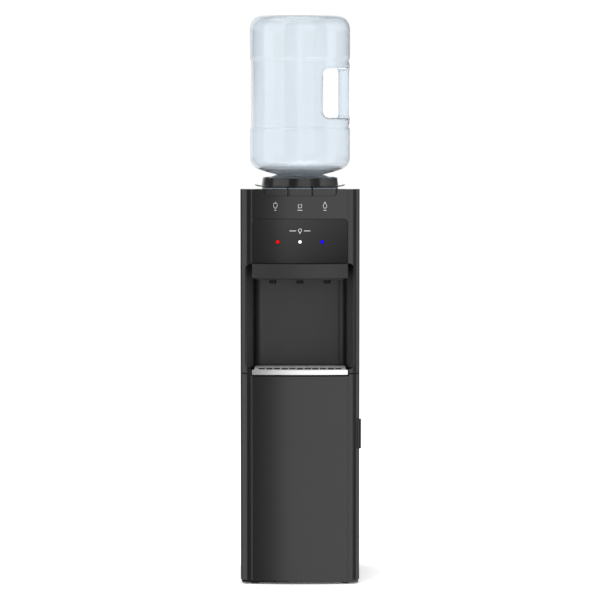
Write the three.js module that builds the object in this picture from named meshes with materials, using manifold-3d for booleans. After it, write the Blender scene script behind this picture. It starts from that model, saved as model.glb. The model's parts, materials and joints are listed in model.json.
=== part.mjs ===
// Floor-standing top-loading water dispenser with an inverted refillable bottle.
// Millimetres, +Z up, -Y is the front. The part's origin is on the floor under the centre of its bounding box.
// Every dimension below is given in the cabinet's own frame, where y = 0 is the most forward
// point of the bowed front panel and x = 0 is the centre line; the last lines shift it to the origin.
import * as THREE from 'three';
import { mergeVertices } from 'three/addons/utils/BufferGeometryUtils.js';
import Module from 'manifold-3d';

const wasm = await Module();
wasm.setup();

// ---------------------------------------------------------------- driving dimensions
const HALF_W = 155;            // half the cabinet's width
const PANEL_HALF = 124;        // half the width of the bowed centre panel
const BOW = 6.8;               // how far the centre panel bows forward
const COL_DEPTH = 19.2;        // depth of the rounded columns at its sides
const SHELL = 3;               // moulded wall
const GAP = 0.3;               // clearance between touching pieces
const FLOOR_Z = 4.3;           // underside of the base, above the feet
const DOOR_Z0 = 10.5, DOOR_Z1 = 546.8, DOOR_COL_Z1 = 551.6;
const FASCIA_Z0 = 552.6, FASCIA_Z1 = 1032.5;
const TOP_Z = 1020;            // upper face of the top cover, below the fascia's parapet
const FRONT_Y = 32.4;          // where the steel cabinet starts, behind fascia and door
const REAR_Y = 328;            // outer face of the back panel
const ALCOVE_Z0 = 565, ALCOVE_Z1 = 839.9, ALCOVE_HALF = 142.6, ALCOVE_BACK = 124;
const HEAD_Z0 = 801.8, HEAD_Z1 = 839.6, HEAD_OUT = 16;
const TRAY_Z0 = 549.6, TRAY_Z1 = 563.7;
const AXIS_Y = 165;            // bottle axis, behind the front panel
const BUTTON_X = [-63.2, 0, 63.2], NOZZLE_X = [-70.6, 0, 70.6], LED_X = [-57.6, 0, 57.6];
const BUTTON_TRAVEL = 4;
const DRAIN_X = 85, DRAIN_Z = 215;
const HINGE_X = -146, HINGE_Y = 21, PIN_R = 2.4;
const BOTTLE_R = 132.5, BOTTLE_WAIST_R = 129.5, BOTTLE_TOP = 1482.6, BOTTLE_WALL = 2;
const ORIGIN_X = 2.3, ORIGIN_Y = 162.5;

// ---------------------------------------------------------------- shape helpers
const V2 = (x, y) => new THREE.Vector2(x, y);
function shapeOf(points) {
  const s = new THREE.Shape();
  const apart = (a, b) => Math.hypot(a[0] - b[0], a[1] - b[1]) > 1e-3;
  points.filter((p, i) => apart(p, points[(i + 1) % points.length])).forEach(([x, y], i) => (i ? s.lineTo(x, y) : s.moveTo(x, y)));
  s.closePath();
  return s;
}
// A polygon in x, y raised from z0 to z1.
function prismZ(points, z0, z1) {
  return new THREE.ExtrudeGeometry(shapeOf(points), { depth: z1 - z0, bevelEnabled: false, curveSegments: 8 }).translate(0, 0, z0);
}
// A polygon in x, z run from y0 to y1.
function prismY(points, y0, y1) {
  return new THREE.ExtrudeGeometry(shapeOf(points), { depth: y1 - y0, bevelEnabled: false })
    .applyMatrix4(new THREE.Matrix4().makeRotationX(Math.PI / 2)).translate(0, y1, 0);
}
// A polygon in y, z run from x0 to x1.
function prismX(points, x0, x1) {
  return new THREE.ExtrudeGeometry(shapeOf(points), { depth: x1 - x0, bevelEnabled: false })
    .applyMatrix4(new THREE.Matrix4().makeBasis(new THREE.Vector3(0, 1, 0), new THREE.Vector3(0, 0, 1), new THREE.Vector3(1, 0, 0)))
    .translate(x0, 0, 0);
}
function box(x0, x1, y0, y1, z0, z1) {
  return new THREE.BoxGeometry(x1 - x0, y1 - y0, z1 - z0).translate((x0 + x1) / 2, (y0 + y1) / 2, (z0 + z1) / 2);
}
// An r, z profile turned about a vertical axis; one that stays off the axis is closed into a ring.
function turned(points, segments) {
  const first = points[0], last = points[points.length - 1];
  const onAxis = first[0] === 0 && last[0] === 0;
  const profile = onAxis || (first[0] === last[0] && first[1] === last[1]) ? points : [...points, first];
  return new THREE.LatheGeometry(profile.map(([r, z]) => V2(r, z)), segments).applyMatrix4(new THREE.Matrix4().makeRotationX(Math.PI / 2));
}
function rod(r, z0, z1, segments = 16) {
  return turned([[0, z0], [r, z0], [r, z1], [0, z1]], segments);
}
// A round bar along Y.
function rodY(r, y0, y1, segments = 16) {
  return rod(r, 0, y1 - y0, segments).applyMatrix4(new THREE.Matrix4().makeRotationX(-Math.PI / 2)).translate(0, y0, 0);
}
function tube(points, r, sides, steps, closed = false) {
  const ring = new THREE.Shape();
  for (let i = 0; i < sides; i++) {
    const a = (2 * Math.PI * i) / sides;
    i ? ring.lineTo(r * Math.cos(a), r * Math.sin(a)) : ring.moveTo(r * Math.cos(a), r * Math.sin(a));
  }
  ring.closePath();
  const path = new THREE.CatmullRomCurve3(points.map((p) => new THREE.Vector3(...p)), closed, 'centripetal');
  return new THREE.ExtrudeGeometry(ring, { steps, extrudePath: path, bevelEnabled: false });
}
// Rounded rectangle as a polygon; radii for its four corners, starting at low x, low y.
function rounded(x0, x1, y0, y1, radii, n = 4) {
  const [a, b, c, d] = Array.isArray(radii) ? radii : [radii, radii, radii, radii];
  const out = [];
  const corner = (cx, cy, r, start) => {
    if (r <= 0) { out.push([cx, cy]); return; }
    for (let i = 0; i <= n; i++) {
      const t = start + (Math.PI / 2) * (i / n);
      out.push([cx + r * Math.cos(t), cy + r * Math.sin(t)]);
    }
  };
  corner(x0 + a, y0 + a, a, Math.PI);
  corner(x1 - b, y0 + b, b, 1.5 * Math.PI);
  corner(x1 - c, y1 - c, c, 0);
  corner(x0 + d, y1 - d, d, 0.5 * Math.PI);
  return out;
}

// ---------------------------------------------------------------- booleans
function solid(geometry) {
  if (!(geometry instanceof THREE.BufferGeometry)) return geometry;
  const g = geometry.clone();
  g.deleteAttribute('normal');
  g.deleteAttribute('uv');
  const m = mergeVertices(g, 1e-4);
  let tri = new Uint32Array(m.index.array);
  const make = (t) => new wasm.Manifold(new wasm.Mesh({ numProp: 3, vertProperties: new Float32Array(m.attributes.position.array), triVerts: t }));
  let s = make(tri);
  if (s.volume() < 0) {
    tri = tri.slice();
    for (let i = 0; i < tri.length; i += 3) [tri[i + 1], tri[i + 2]] = [tri[i + 2], tri[i + 1]];
    s = make(tri);
  }
  return s;
}
const join = (...list) => list.map(solid).reduce((a, b) => a.add(b));
const cut = (base, ...tools) => tools.map(solid).reduce((a, b) => a.subtract(b), solid(base));
function geometryOf(s) {
  const m = s.getMesh(), n = m.numProp, count = m.vertProperties.length / n;
  const pos = new Float32Array(count * 3);
  for (let i = 0; i < count; i++) pos.set(m.vertProperties.subarray(i * n, i * n + 3), i * 3);
  const g = new THREE.BufferGeometry();
  g.setAttribute('position', new THREE.BufferAttribute(pos, 3));
  g.setIndex(new THREE.BufferAttribute(new Uint32Array(m.triVerts), 1));
  g.computeVertexNormals();
  return g;
}

// ---------------------------------------------------------------- materials
const finish = (color, roughness, metalness = 0, extra = {}) => () => new THREE.MeshStandardMaterial({ color, roughness, metalness, ...extra });
const black = finish(0x2b2b2c, 0.38), gloss = finish(0x1d1d1f, 0.12), liner = finish(0x242425, 0.5), steel = finish(0x2a2a2b, 0.45, 0.2);
const satin = finish(0xc9cbcc, 0.25, 1), stainless = finish(0xb5b7b8, 0.35, 1), rubber = finish(0x151515, 0.85), copper = finish(0xb56a3f, 0.35, 1);
const foam = finish(0xe8e8e4, 0.95), white = finish(0xe6e6e6, 0.5), silicone = finish(0xdfe3e2, 0.4), spring = finish(0x9a9c9e, 0.3, 1);
const clearBlue = finish(0xcfe4f2, 0.08, 0, { transparent: true, opacity: 0.35 });
const board = finish(0x1f5a35, 0.6), smoke = finish(0x59636d, 0.2, 0, { transparent: true, opacity: 0.8 });

// ---------------------------------------------------------------- the bowed front's plan outline
function frontY(x) {
  const a = Math.abs(x);
  if (a <= PANEL_HALF) return BOW * (x / PANEL_HALF) ** 2;
  const u = Math.min(1, (a - PANEL_HALF) / (HALF_W - PANEL_HALF));
  return BOW + COL_DEPTH - COL_DEPTH * Math.sqrt(1 - u * u);
}
// The outline from the left side round the front to the right side, set in by t.
function frontLine(t, yBack, columnSteps = 6, panelSteps = 8) {
  const out = [];
  const rx = HALF_W - PANEL_HALF - t, ry = COL_DEPTH - t;
  out.push([-HALF_W + t, yBack]);
  for (let i = columnSteps; i >= 1; i--) {
    const a = (Math.PI / 2) * (i / columnSteps);
    out.push([-PANEL_HALF - rx * Math.sin(a), BOW + COL_DEPTH - ry * Math.cos(a)]);
  }
  for (let i = 0; i <= panelSteps; i++) {
    const x = -PANEL_HALF + (2 * PANEL_HALF * i) / panelSteps;
    out.push([x, frontY(x) + t]);
  }
  for (let i = 1; i <= columnSteps; i++) {
    const a = (Math.PI / 2) * (i / columnSteps);
    out.push([PANEL_HALF + rx * Math.sin(a), BOW + COL_DEPTH - ry * Math.cos(a)]);
  }
  out.push([HALF_W - t, yBack]);
  return out;
}
function shellSection(t, yBack) {
  return [...frontLine(0, yBack), ...frontLine(t, yBack).reverse()];
}
// A strip of the bowed panel between two x values, t0 to t1 behind the outer face.
function panelStrip(x0, x1, t0, t1, steps = 8) {
  const outer = [], inner = [];
  for (let i = 0; i <= steps; i++) {
    const x = x0 + ((x1 - x0) * i) / steps;
    outer.push([x, frontY(x) + t0]);
    inner.unshift([x, frontY(x) + t1]);
  }
  return [...outer, ...inner];
}

// ---------------------------------------------------------------- scene graph
const dispenser = new THREE.Group();
const unit = new THREE.Group();
unit.position.set(-ORIGIN_X, -ORIGIN_Y, 0);
dispenser.add(unit);
function group(parent, x = 0, y = 0, z = 0) {
  const g = new THREE.Group();
  g.position.set(x, y, z);
  parent.add(g);
  return g;
}
function piece(parent, name, shape, material, x = 0, y = 0, z = 0) {
  const mesh = new THREE.Mesh(shape instanceof THREE.BufferGeometry ? shape : geometryOf(shape), material());
  mesh.name = name;
  mesh.position.set(x, y, z);
  parent.add(mesh);
  return mesh;
}

// ================================================================ cabinet
const cabinet = group(unit);
{
  // Moulded base: a plate with a bowed front and a low wall that the steel panels close on.
  const plate = [[-152, 326]];
  for (let i = 0; i <= 10; i++) {
    const x = -152 + (304 * i) / 10;
    plate.push([x, 4 + 15 * (x / 152) ** 2]);
  }
  plate.push([152, 326]);
  const base = join(prismZ(plate, FLOOR_Z, 10.2),
    cut(box(-150.5, 150.5, 37, 324, 10, 32), box(-147.5, 147.5, 40, 321, 9, 40)));
  piece(cabinet, 'base_pan', base, black);
  const foot = turned([[0, 0], [10.5, 0], [12, 1.5], [11, 4], [0, 4]], 14);
  piece(cabinet, 'foot_front_left', foot, rubber, -118, 28, 0);
  piece(cabinet, 'foot_front_right', foot, rubber, 118, 28, 0);
  piece(cabinet, 'foot_rear_left', foot, rubber, -118, 304, 0);
  piece(cabinet, 'foot_rear_right', foot, rubber, 118, 304, 0);

  // Folded steel sides: a flat sheet with a return flange front and rear.
  const side = [[-HALF_W, FRONT_Y], [-HALF_W + 14, FRONT_Y], [-HALF_W + 14, FRONT_Y + 1.2], [-HALF_W + 1.2, FRONT_Y + 1.2],
    [-HALF_W + 1.2, REAR_Y - 1.2], [-HALF_W + 12, REAR_Y - 1.2], [-HALF_W + 12, REAR_Y], [-HALF_W, REAR_Y]];
  piece(cabinet, 'side_panel_left', prismZ(side, 10.5, TOP_Z), steel);
  piece(cabinet, 'side_panel_right', prismZ(side.map(([x, y]) => [-x, y]), 10.5, TOP_Z), steel);

  // Sheet-steel back with vent slots high and low, and holes for what passes through it.
  let back = solid(box(-152, 152, 325.2, 326.4, 10.5, TOP_Z - 4.5));
  const slots = [];
  for (let row = 0; row < 5; row++)
    for (const x of [-56, 56]) slots.push(solid(box(x - 44, x + 44, 320, 330, 60 + row * 20, 67 + row * 20)));
  for (let row = 0; row < 3; row++)
    for (const x of [-56, 56]) slots.push(solid(box(x - 44, x + 44, 320, 330, 790 + row * 20, 797 + row * 20)));
  slots.push(solid(box(-128.5, -91.5, 320, 330, 935.5, 964.5)), solid(box(-81.6, -20.4, 320, 330, 935.8, 964.2)));
  slots.push(solid(rodY(8, 320, 330, 12).translate(DRAIN_X, 0, DRAIN_Z)));
  back = slots.reduce((a, b) => a.subtract(b), back);
  piece(cabinet, 'back_panel', back, steel);

  // Top cover: a flat moulding, lower than the fascia's parapet, with the receptacle's hole and a shallow rim at that hole.
  const top = cut(join(box(-153.5, 153.5, 44.4, 324.9, 1016.5, TOP_Z),
    turned([[90, 1012], [97, 1012], [97, 1017], [90, 1017]], 28).translate(0, AXIS_Y, 0)),
    rod(90.5, 1000, 1040, 28).translate(0, AXIS_Y, 0));
  piece(cabinet, 'top_cover', top, black);
}

// ================================================================ upper fascia and controls
const fascia = group(unit);
{
  const outline = (t, yBack) => frontLine(t, yBack);
  let body = join(prismZ(shellSection(SHELL, 31), FASCIA_Z0, FASCIA_Z1),
    cut(prismZ(outline(0, 44), TOP_Z + GAP, FASCIA_Z1), prismZ(outline(SHELL, 41), TOP_Z - 5, FASCIA_Z1 - SHELL)));
  body = cut(body,
    prismY(rounded(-94.8, 94.8, 1015.3, 1060, [8, 8, 0, 0], 4), -10, 38),               // the button bay
    prismY(rounded(-124.2, 124.2, 700, 955.7, [0, 0, 13, 13], 5), -10, 12.5),           // display window
    prismY(rounded(-ALCOVE_HALF, ALCOVE_HALF, ALCOVE_Z0, ALCOVE_Z1, [16, 16, 17, 17], 5), -10, 60),
    box(-125.2, 125.2, -10, 60, 540, 700));
  piece(fascia, 'upper_fascia', body, black);

  // Glossy display panel, set half a millimetre into the fascia, with three lamp holes.
  let display = solid(prismZ(panelStrip(-123.9, 123.9, 0.5, 3.1), 840.2, 955.4));
  display = cut(display, cut(box(-130, 130, -10, 30, 800, 1000), prismY(rounded(-123.9, 123.9, 780, 955.4, [0, 0, 13, 13], 5), -12, 32)),
    ...LED_X.map((x) => rodY(5, -10, 20, 12).translate(x, 0, 895.9)));
  piece(fascia, 'display_panel', display, gloss);
  const led = join(rodY(4.6, 0, 6, 12), rodY(6.4, 3.9, 6, 12));
  const ledColours = [finish(0xff1010, 0.2, 0, { emissive: 0xff1010 }), finish(0xffffff, 0.2, 0, { emissive: 0xffffff }), finish(0x1a1aff, 0.2, 0, { emissive: 0x1a1aff })];
  ['led_hot', 'led_room', 'led_cold'].forEach((name, i) => piece(fascia, name, led, ledColours[i], LED_X[i], frontY(LED_X[i]) + 0.3, 895.9));
  piece(fascia, 'control_board', cut(box(-85, 85, 14, 15.6, 862, 940), rodY(2, 10, 20, 8).translate(-78, 0, 868), rodY(2, 10, 20, 8).translate(78, 0, 934)), board);

  // Push buttons: caps that slide down behind the fascia's wall on a round stem over the tap valve.
  const names = ['hot', 'room', 'cold'];
  BUTTON_X.forEach((cx, i) => {
    const w = 31.0, x0 = cx - w, x1 = cx + w;
    const plan = [[x0, 36.5]];
    for (let k = 0; k <= 4; k++) { const x = x0 + ((x1 - x0) * k) / 4; plan.push([x, frontY(x) + 3.5]); }
    plan.push([x1, 36.5]);
    const cap = cut(prismZ(plan, 1009, 1036),
      prismX([[-20, 1033.2], [5, 1033.2], [36.5, 1035.6], [60, 1035.6], [60, 1080], [-20, 1080]], x0 - 1, x1 + 1),
      cut(box(x0 + 2, x1 - 2, 13.5, 34.5, 1000, 1030)));
    const buttonBody = join(cap, rod(4, 996, 1033, 12).translate(cx, 24, 0));
    piece(fascia, 'button_' + names[i], buttonBody, black);
    // Return spring round the stem.
    const turns = 4, per = 7, pts = [];
    for (let k = 0; k <= turns * per; k++) { const a = (2 * Math.PI * k) / per; pts.push([6.6 * Math.cos(a), 6.6 * Math.sin(a), 1001.4 + (26.6 * k) / (turns * per)]); }
    piece(fascia, 'button_spring_' + names[i], tube(pts, 0.8, 4, turns * per), spring, cx, 24, 0);
    // Tap valve below, with the stem's guide bore and an outlet barb.
    const valve = cut(join(box(-14, 14, -11, 17, 958, 1000), rod(5, 946, 960, 12)), rod(4.5, 985, 1010, 12));
    piece(fascia, 'valve_' + names[i], valve, white, cx, 24, 0);
  });
}

// ================================================================ alcove, spouts and drip tray
const alcove = group(unit);
{
  // Liner: drafted side walls, rounded corners, ceiling and floor, open to the front.
  const half = (t) => {
    const p = [[139.8 + t, 13.8], [123 + t, 100]];
    for (let i = 1; i <= 5; i++) { const a = (Math.PI / 2) * (i / 5); p.push([98 + (25 + t) * Math.cos(a), 99 + (25 + t) * Math.sin(a)]); }
    return p;
  };
  const mirror = (p) => p.map(([x, y]) => [-x, y]).reverse();
  const wallPlan = [...half(2.5), ...mirror(half(2.5)), ...mirror(half(0)).reverse(), ...half(0).reverse()];
  const roofPlan = [...half(2.5), ...mirror(half(2.5))];
  const ring = [...half(2.5), ...mirror(half(2.5))];
  const inner = [...half(0), ...mirror(half(0))];
  let walls = cut(prismZ(ring, 545.2, 843), prismZ(inner, 548.2, 840.2), box(-139.7, 139.7, -5, 20, 548.2, 840.2));
  walls = cut(walls, box(-200, 200, -20, FRONT_Y + 0.6, 500, 556), box(-200, 200, -20, 14.4, 500, 900),
    box(-200, 200, -20, 19, 840, 860), ...NOZZLE_X.map((x) => rod(7, 830, 860, 12).translate(x, 26, 0)));
  piece(alcove, 'alcove_liner', walls, liner);

  // Spout cover: a bowed box, open at the top, with a stepped underside and three spout holes.
  const headFront = (x, t) => -HEAD_OUT + (HEAD_OUT + 2) * (x / PANEL_HALF) ** 2 + t;
  const plan = (t, yb) => { const p = [[-PANEL_HALF + t, yb]]; for (let i = 0; i <= 10; i++) { const x = (-PANEL_HALF + t) + (2 * (PANEL_HALF - t) * i) / 10; p.push([x, headFront(x, t)]); } p.push([PANEL_HALF - t, yb]); return p; };
  const head = cut(join(prismZ(plan(0, 62), HEAD_Z0, HEAD_Z1), prismZ(plan(8, 58), HEAD_Z0 - 2.8, HEAD_Z0 + 1)),
    prismZ(plan(2.5, 59.5), HEAD_Z0 + 1.6, HEAD_Z1 + 5), ...NOZZLE_X.map((x) => rod(9.6, 790, 810, 16).translate(x, 26, 0)));
  piece(alcove, 'spout_cover', head, black);
  const nozzle = cut(turned([[0, 786.3], [7.6, 786.3], [9, 788], [9, 806], [6.4, 810], [6.4, 852], [0, 852]], 16), rod(3.6, 780, 860, 8));
  ['nozzle_hot', 'nozzle_room', 'nozzle_cold'].forEach((name, i) => piece(alcove, name, nozzle, black, NOZZLE_X[i], 26, 0));
  ['hose_hot', 'hose_room', 'hose_cold'].forEach((name, i) => piece(alcove, name, tube([[NOZZLE_X[i], 26, 852.4], [NOZZLE_X[i], 26, 880], [BUTTON_X[i], 24, 915], [BUTTON_X[i], 24, 945.6]], 4.5, 7, 7), silicone));

  // Drip tray: a shallow bin with rounded rear corners that slides out to the front, with its trim and grille.
  const trayPlan = (t) => {
    const p = [], w = 119.5 - t;
    for (let i = 0; i <= 6; i++) { const x = -w + (2 * w * i) / 6; p.push([x, frontY(x) - 1 + t]); }
    for (let i = 0; i <= 4; i++) { const a = (Math.PI / 2) * (i / 4); p.push([96.5 + (23 - t) * Math.cos(a), 97 + (23 - t) * Math.sin(a)]); } for (let i = 0; i <= 4; i++) { const a = (Math.PI / 2) * (1 + i / 4); p.push([-96.5 + (23 - t) * Math.cos(a), 97 + (23 - t) * Math.sin(a)]); } return p; };
  const tray = group(alcove);
  piece(tray, 'drip_tray', cut(prismZ(trayPlan(0), TRAY_Z0, 561), prismZ(trayPlan(2), TRAY_Z0 + 2, 570)), liner);
  let grille = solid(prismZ(trayPlan(0.2), 561.3, TRAY_Z1));
  const holes = [];
  for (let i = -5; i <= 5; i++) holes.push(solid(prismZ(rounded(i * 20 - 7, i * 20 + 7, i % 2 ? 14 : 10, i % 2 ? 50 : 54, 0), 550, 570)), ...(Math.abs(i) <= 4 ? [solid(prismZ(rounded(i * 20 - 7, i * 20 + 7, i % 2 ? 62 : 66, i % 2 ? 106 : 102, 0), 550, 570))] : []));
  grille = holes.reduce((a, b) => a.subtract(b), grille);
  piece(tray, 'drip_grille', grille, stainless);
  piece(tray, 'drip_tray_trim', join(prismZ(panelStrip(-124.3, 124.3, -4, -2.4, 10), 550.2, 563.6), cut(prismZ(panelStrip(-118, 118, -2.8, -1.4, 10), 552, 561))), satin);
}

// ================================================================ door of the storage compartment
const door = group(unit);
{
  const section = frontLine(0, 26.6), innerLine = frontLine(SHELL, 28);
  const plan = [[-HALF_W + 3, 28], ...section, [HALF_W - 3, 28], ...innerLine.reverse()];
  const cap = [...frontLine(1, 28)];
  let panel = join(prismZ(plan, DOOR_Z0, DOOR_COL_Z1), prismZ(cap, DOOR_Z0, DOOR_Z0 + 3), prismZ(cap, DOOR_Z1 - 3, DOOR_Z1),
    rod(6, DOOR_Z0, DOOR_Z0 + 16, 16).translate(HINGE_X, HINGE_Y, 0), rod(6, DOOR_Z1 - 14, DOOR_COL_Z1, 16).translate(HINGE_X, HINGE_Y, 0));
  // Clip everything to the outer outline, lower the centre of the top edge under the drip tray, and bore the hinge sockets.
  const blank = [[-HALF_W + 3, 28], ...section, [HALF_W - 3, 28]];
  panel = panel.intersect(solid(prismZ(blank, DOOR_Z0, DOOR_COL_Z1)));
  panel = cut(panel, box(-125.6, 125.6, -10, 40, DOOR_Z1, 600),
    rod(PIN_R + 0.4, DOOR_Z0 - 1, DOOR_Z0 + 12, 16).translate(HINGE_X, HINGE_Y, 0), rod(PIN_R + 0.4, DOOR_Z1 - 9, 560, 16).translate(HINGE_X, HINGE_Y, 0));
  piece(door, 'door_panel', panel, black);
  // Inner liner: a dished plate behind the panel.
  const linerPlate = join(box(-138.5, 151.2, 24.6, 27.8, DOOR_Z0 + 3.4, DOOR_Z1 - 3.4), cut(box(-126, 126, 20, 25, 40, 520), box(-123, 123, 17, 23, 43, 517)));
  piece(door, 'door_liner', linerPlate, liner);
  // Side grip: a vertical pull on the door's free edge, with a finger hollow behind its lip.
  const grip = [[146.6, 12.6], [152, 12.4], [157.4, 14.6], [159.6, 18], [159.6, 27.6], [156.9, 27.6], [156.9, 22], [155.3, 21.4], [155.3, 25.3]];
  const gripClear = [...frontLine(-0.3, 40)];
  piece(door, 'door_grip', cut(prismZ(grip, 356, 434), prismZ(gripClear, 340, 450)), black);
  const pin = group(unit, HINGE_X, HINGE_Y, 0);
  const lug = prismZ([[-3, 0.6], [-1, -2.8], [8, -2.8], [8, 10.9], [-3, 10.9]], 552.8, 555);
  piece(pin, 'door_hinge_pin_upper', join(rod(PIN_R, DOOR_Z1 - 7, 554, 12), lug), stainless);
  piece(pin, 'door_hinge_pin_lower', turned([[0, 10.4], [PIN_R, 10.4], [PIN_R, 21], [0, 21.8]], 12), stainless);
}

// ================================================================ storage compartment
const storage = group(unit);
{
  const bin = cut(join(box(-141, 141, FRONT_Y + 1.6, 184, 36, 533), box(-151.5, 151.5, FRONT_Y + 1.6, FRONT_Y + 4.6, 33, 540)), box(-138, 138, 20, 181, 39, 530));
  piece(storage, 'storage_liner', bin, liner);
}

// ================================================================ bottle receptacle
const receptacle = group(unit, 0, AXIS_Y, 0);
{
  // Dish with a skirt, a ledge, a deep well for the neck and two upturned finger ears.
  const ear = [[101, 1034.3], [106, 1034.5], [112, 1035.7], [118.4, 1038.2], [118.4, 1040.6], [112, 1038.8], [106, 1037.5], [101, 1037.4]];
  const seat = join(turned([[46, 990], [10, 990], [10, 987], [49, 987], [49, 1031], [97.5, 1031], [98, 1020.4], [101, 1020.4], [101, 1034.2], [105, 1034.4], [105, 1037.4], [101.6, 1037.6], [98.6, 1058.2], [95, 1058.2], [97, 1034.4], [46, 1034.4]], 28),
    prismY(ear, -30, 30), prismY(ear.map(([x, z]) => [-x, z]), -30, 30));
  piece(receptacle, 'bottle_seat', seat, black);
  // Conical support ring that carries the bottle's shoulder.
  piece(receptacle, 'bottle_support_ring', turned([[92, 1034.8], [92, 1053], [82, 1057.9], [62.4, 1064.9], [59.4, 1064], [50, 1034.8], [54, 1034.8], [63, 1060.6], [88, 1050.6], [88, 1034.8]], 24), smoke);
  piece(receptacle, 'feed_probe', turned([[5.5, 990.3], [16, 990.3], [16, 993.5], [8.5, 993.5], [8.5, 1034], [3.5, 1044], [0, 1044], [0, 1037], [5.5, 1032], [5.5, 990.3]], 14), white);
}

// ================================================================ bottle
const bottle = group(unit, 0, AXIS_Y, 0);
{
  const outer = [[0, 1000.5], [27.5, 1000.5], [27.5, 1052], [61.8, 1065.9], [104, 1077.4], [121, 1084.2], [130, 1095], [BOTTLE_R, 1106],
    [BOTTLE_R, 1184], [BOTTLE_WAIST_R, 1190], [BOTTLE_WAIST_R, 1366.5], [BOTTLE_R, 1372.5], [BOTTLE_R, 1457], [128, 1472], [110, BOTTLE_TOP], [88, BOTTLE_TOP], [0, 1474]];
  const t = BOTTLE_WALL;
  const innerProfile = [[0, 995], [27.5 - t, 995], [27.5 - t, 1053.4], [61.8, 1068.2], [103.2, 1079.6], [119.6, 1086.2], [128, 1096], [BOTTLE_R - t, 1106.4],
    [BOTTLE_R - t, 1183.4], [BOTTLE_WAIST_R - t, 1189.4], [BOTTLE_WAIST_R - t, 1367.1], [BOTTLE_R - t, 1373.1], [BOTTLE_R - t, 1456.6], [126.4, 1470.6], [109.4, BOTTLE_TOP - t], [88, BOTTLE_TOP - t], [0, 1472]];
  const SEG = 32;
  const pocket = (o) => prismY(rounded(60 - o, 220, 1215.6 - o, 1343.1 + o, [16 + o, 0, 0, 16 + o], 4), -220, 220);
  const bar = (o, e) => prismZ(rounded(101.2 + o, 129.4 - o, -19 + o, 19 - o, 10 - o, 3), 1209 - e, 1350 + e);
  const outside = join(cut(turned(outer, SEG), pocket(0)), bar(0, 0));
  const inside = join(cut(turned(innerProfile, SEG), pocket(t)), bar(t, 12));
  piece(bottle, 'bottle', cut(outside, inside), clearBlue);
  piece(bottle, 'bottle_cap', turned([[10, 996], [31, 996], [32, 998], [31, 1022], [28, 1022], [28, 1000.2], [24, 999.6], [10, 999.6], [10, 996]], 20), finish(0x7fb4d8, 0.4));
}

// ================================================================ cooling and heating
const inside = group(unit);
{
  const cold = group(inside, 0, AXIS_Y, 0);
  piece(cold, 'cold_tank', turned([[0, 856], [60, 856], [72, 866], [72, 984], [70, 984], [70, 867], [59, 858], [0, 858]], 24), stainless);
  piece(cold, 'cold_tank_jacket', turned([[0, 846], [94, 846], [94, 984], [84, 984], [84, 853], [0, 853]], 24), foam);
  const helix = [];
  for (let k = 0; k <= 3 * 13; k++) { const a = (2 * Math.PI * k) / 13; helix.push([78.6 * Math.cos(a), 78.6 * Math.sin(a), 880 + (84 * k) / 39]); }
  piece(cold, 'evaporator_coil', tube(helix, 2.6, 5, 39), copper);
  const hot = group(inside, 0, 232, 0);
  // Open through its outlet pipe.
  piece(hot, 'hot_tank', turned([[0, 644], [44, 644], [52, 652], [52, 770], [44, 778], [5, 778], [5, 800], [3.4, 800], [3.4, 776], [43, 776], [50, 769], [50, 653], [43, 646], [0, 646]], 16), stainless);
  piece(hot, 'hot_tank_jacket', turned([[53, 650], [66, 650], [66, 772], [53, 772]], 20), foam);
  piece(inside, 'drain_hose', tube([[0, 232, 643.5], [0, 232, 600], [20, 245, 420], [70, 270, 300], [DRAIN_X, 285, DRAIN_Z + 8], [DRAIN_X, 304, DRAIN_Z], [DRAIN_X, 336, DRAIN_Z]], 5, 7, 16), silicone);
  piece(inside, 'drain_cap', cut(rodY(11.5, 327, 341, 16), rodY(6.6, 325, 337, 12)).translate([DRAIN_X, 0, DRAIN_Z]), black);
  // Hermetic compressor on its cradle, standing on the base.
  const comp = group(inside, 20, 250, 0);
  piece(comp, 'compressor', join(turned([[0, 30], [46, 32], [58, 44], [60, 60], [60, 120], [56, 142], [40, 158], [0, 164]], 20), box(56, 74, -16, 16, 70, 110)), black);
  piece(comp, 'compressor_cradle', join(box(-72, 72, -56, 56, 22, 25), box(-60, 60, -40, 40, 25, 29.6), ...[[-62, -46], [62, -46], [-62, 46], [62, 46]].map(([x, y]) => rod(8, 10.5, 23, 10).translate(x, y, 0))), stainless);
  // Condenser: one serpentine tube on two brackets behind the back panel.
  const run = [], X = 110;
  for (let i = 0; i < 10; i++) {
    const z = 262 + i * 48, e = i % 2 ? -1 : 1;
    run.push([-e * X, 337, z], [e * X, 337, z]);
    if (i < 9) run.push([e * (X + 14), 337, z + 12], [e * (X + 14), 337, z + 36]);
  }
  piece(inside, 'condenser', join(serpentine(run.map((p) => new THREE.Vector3(...p)), 2.6), box(-98, -86, 326.8, 335.6, 250, 706), box(86, 98, 326.8, 335.6, 250, 706)), rubber);
  // Mains inlet and the two rocker switches on the back.
  piece(inside, 'power_inlet', cut(join(box(-134, -86, 326.8, 329.8, 932, 968), box(-128, -92, 304, 327, 936, 964)), box(-124, -96, 310, 335, 942, 958)), rubber);
  piece(inside, 'switch_housing', cut(box(-81.2, -20.8, 318, 329.4, 936.2, 963.8), box(-79, -61, 310, 340, 937.2, 962.8), box(-41, -23, 310, 340, 937.2, 962.8)), rubber);
  const rocker = prismX([[324, -12], [329.4, -12], [332.4, -11.2], [330.6, 0], [330.2, 11.2], [328.4, 12], [324, 12]], -8.4, 8.4);
  piece(inside, 'switch_hot', rocker, finish(0xb01818, 0.4), -70, 0, 950);
  piece(inside, 'switch_cold', rocker, finish(0x1d6b2e, 0.4), -32, 0, 950);
}

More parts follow.
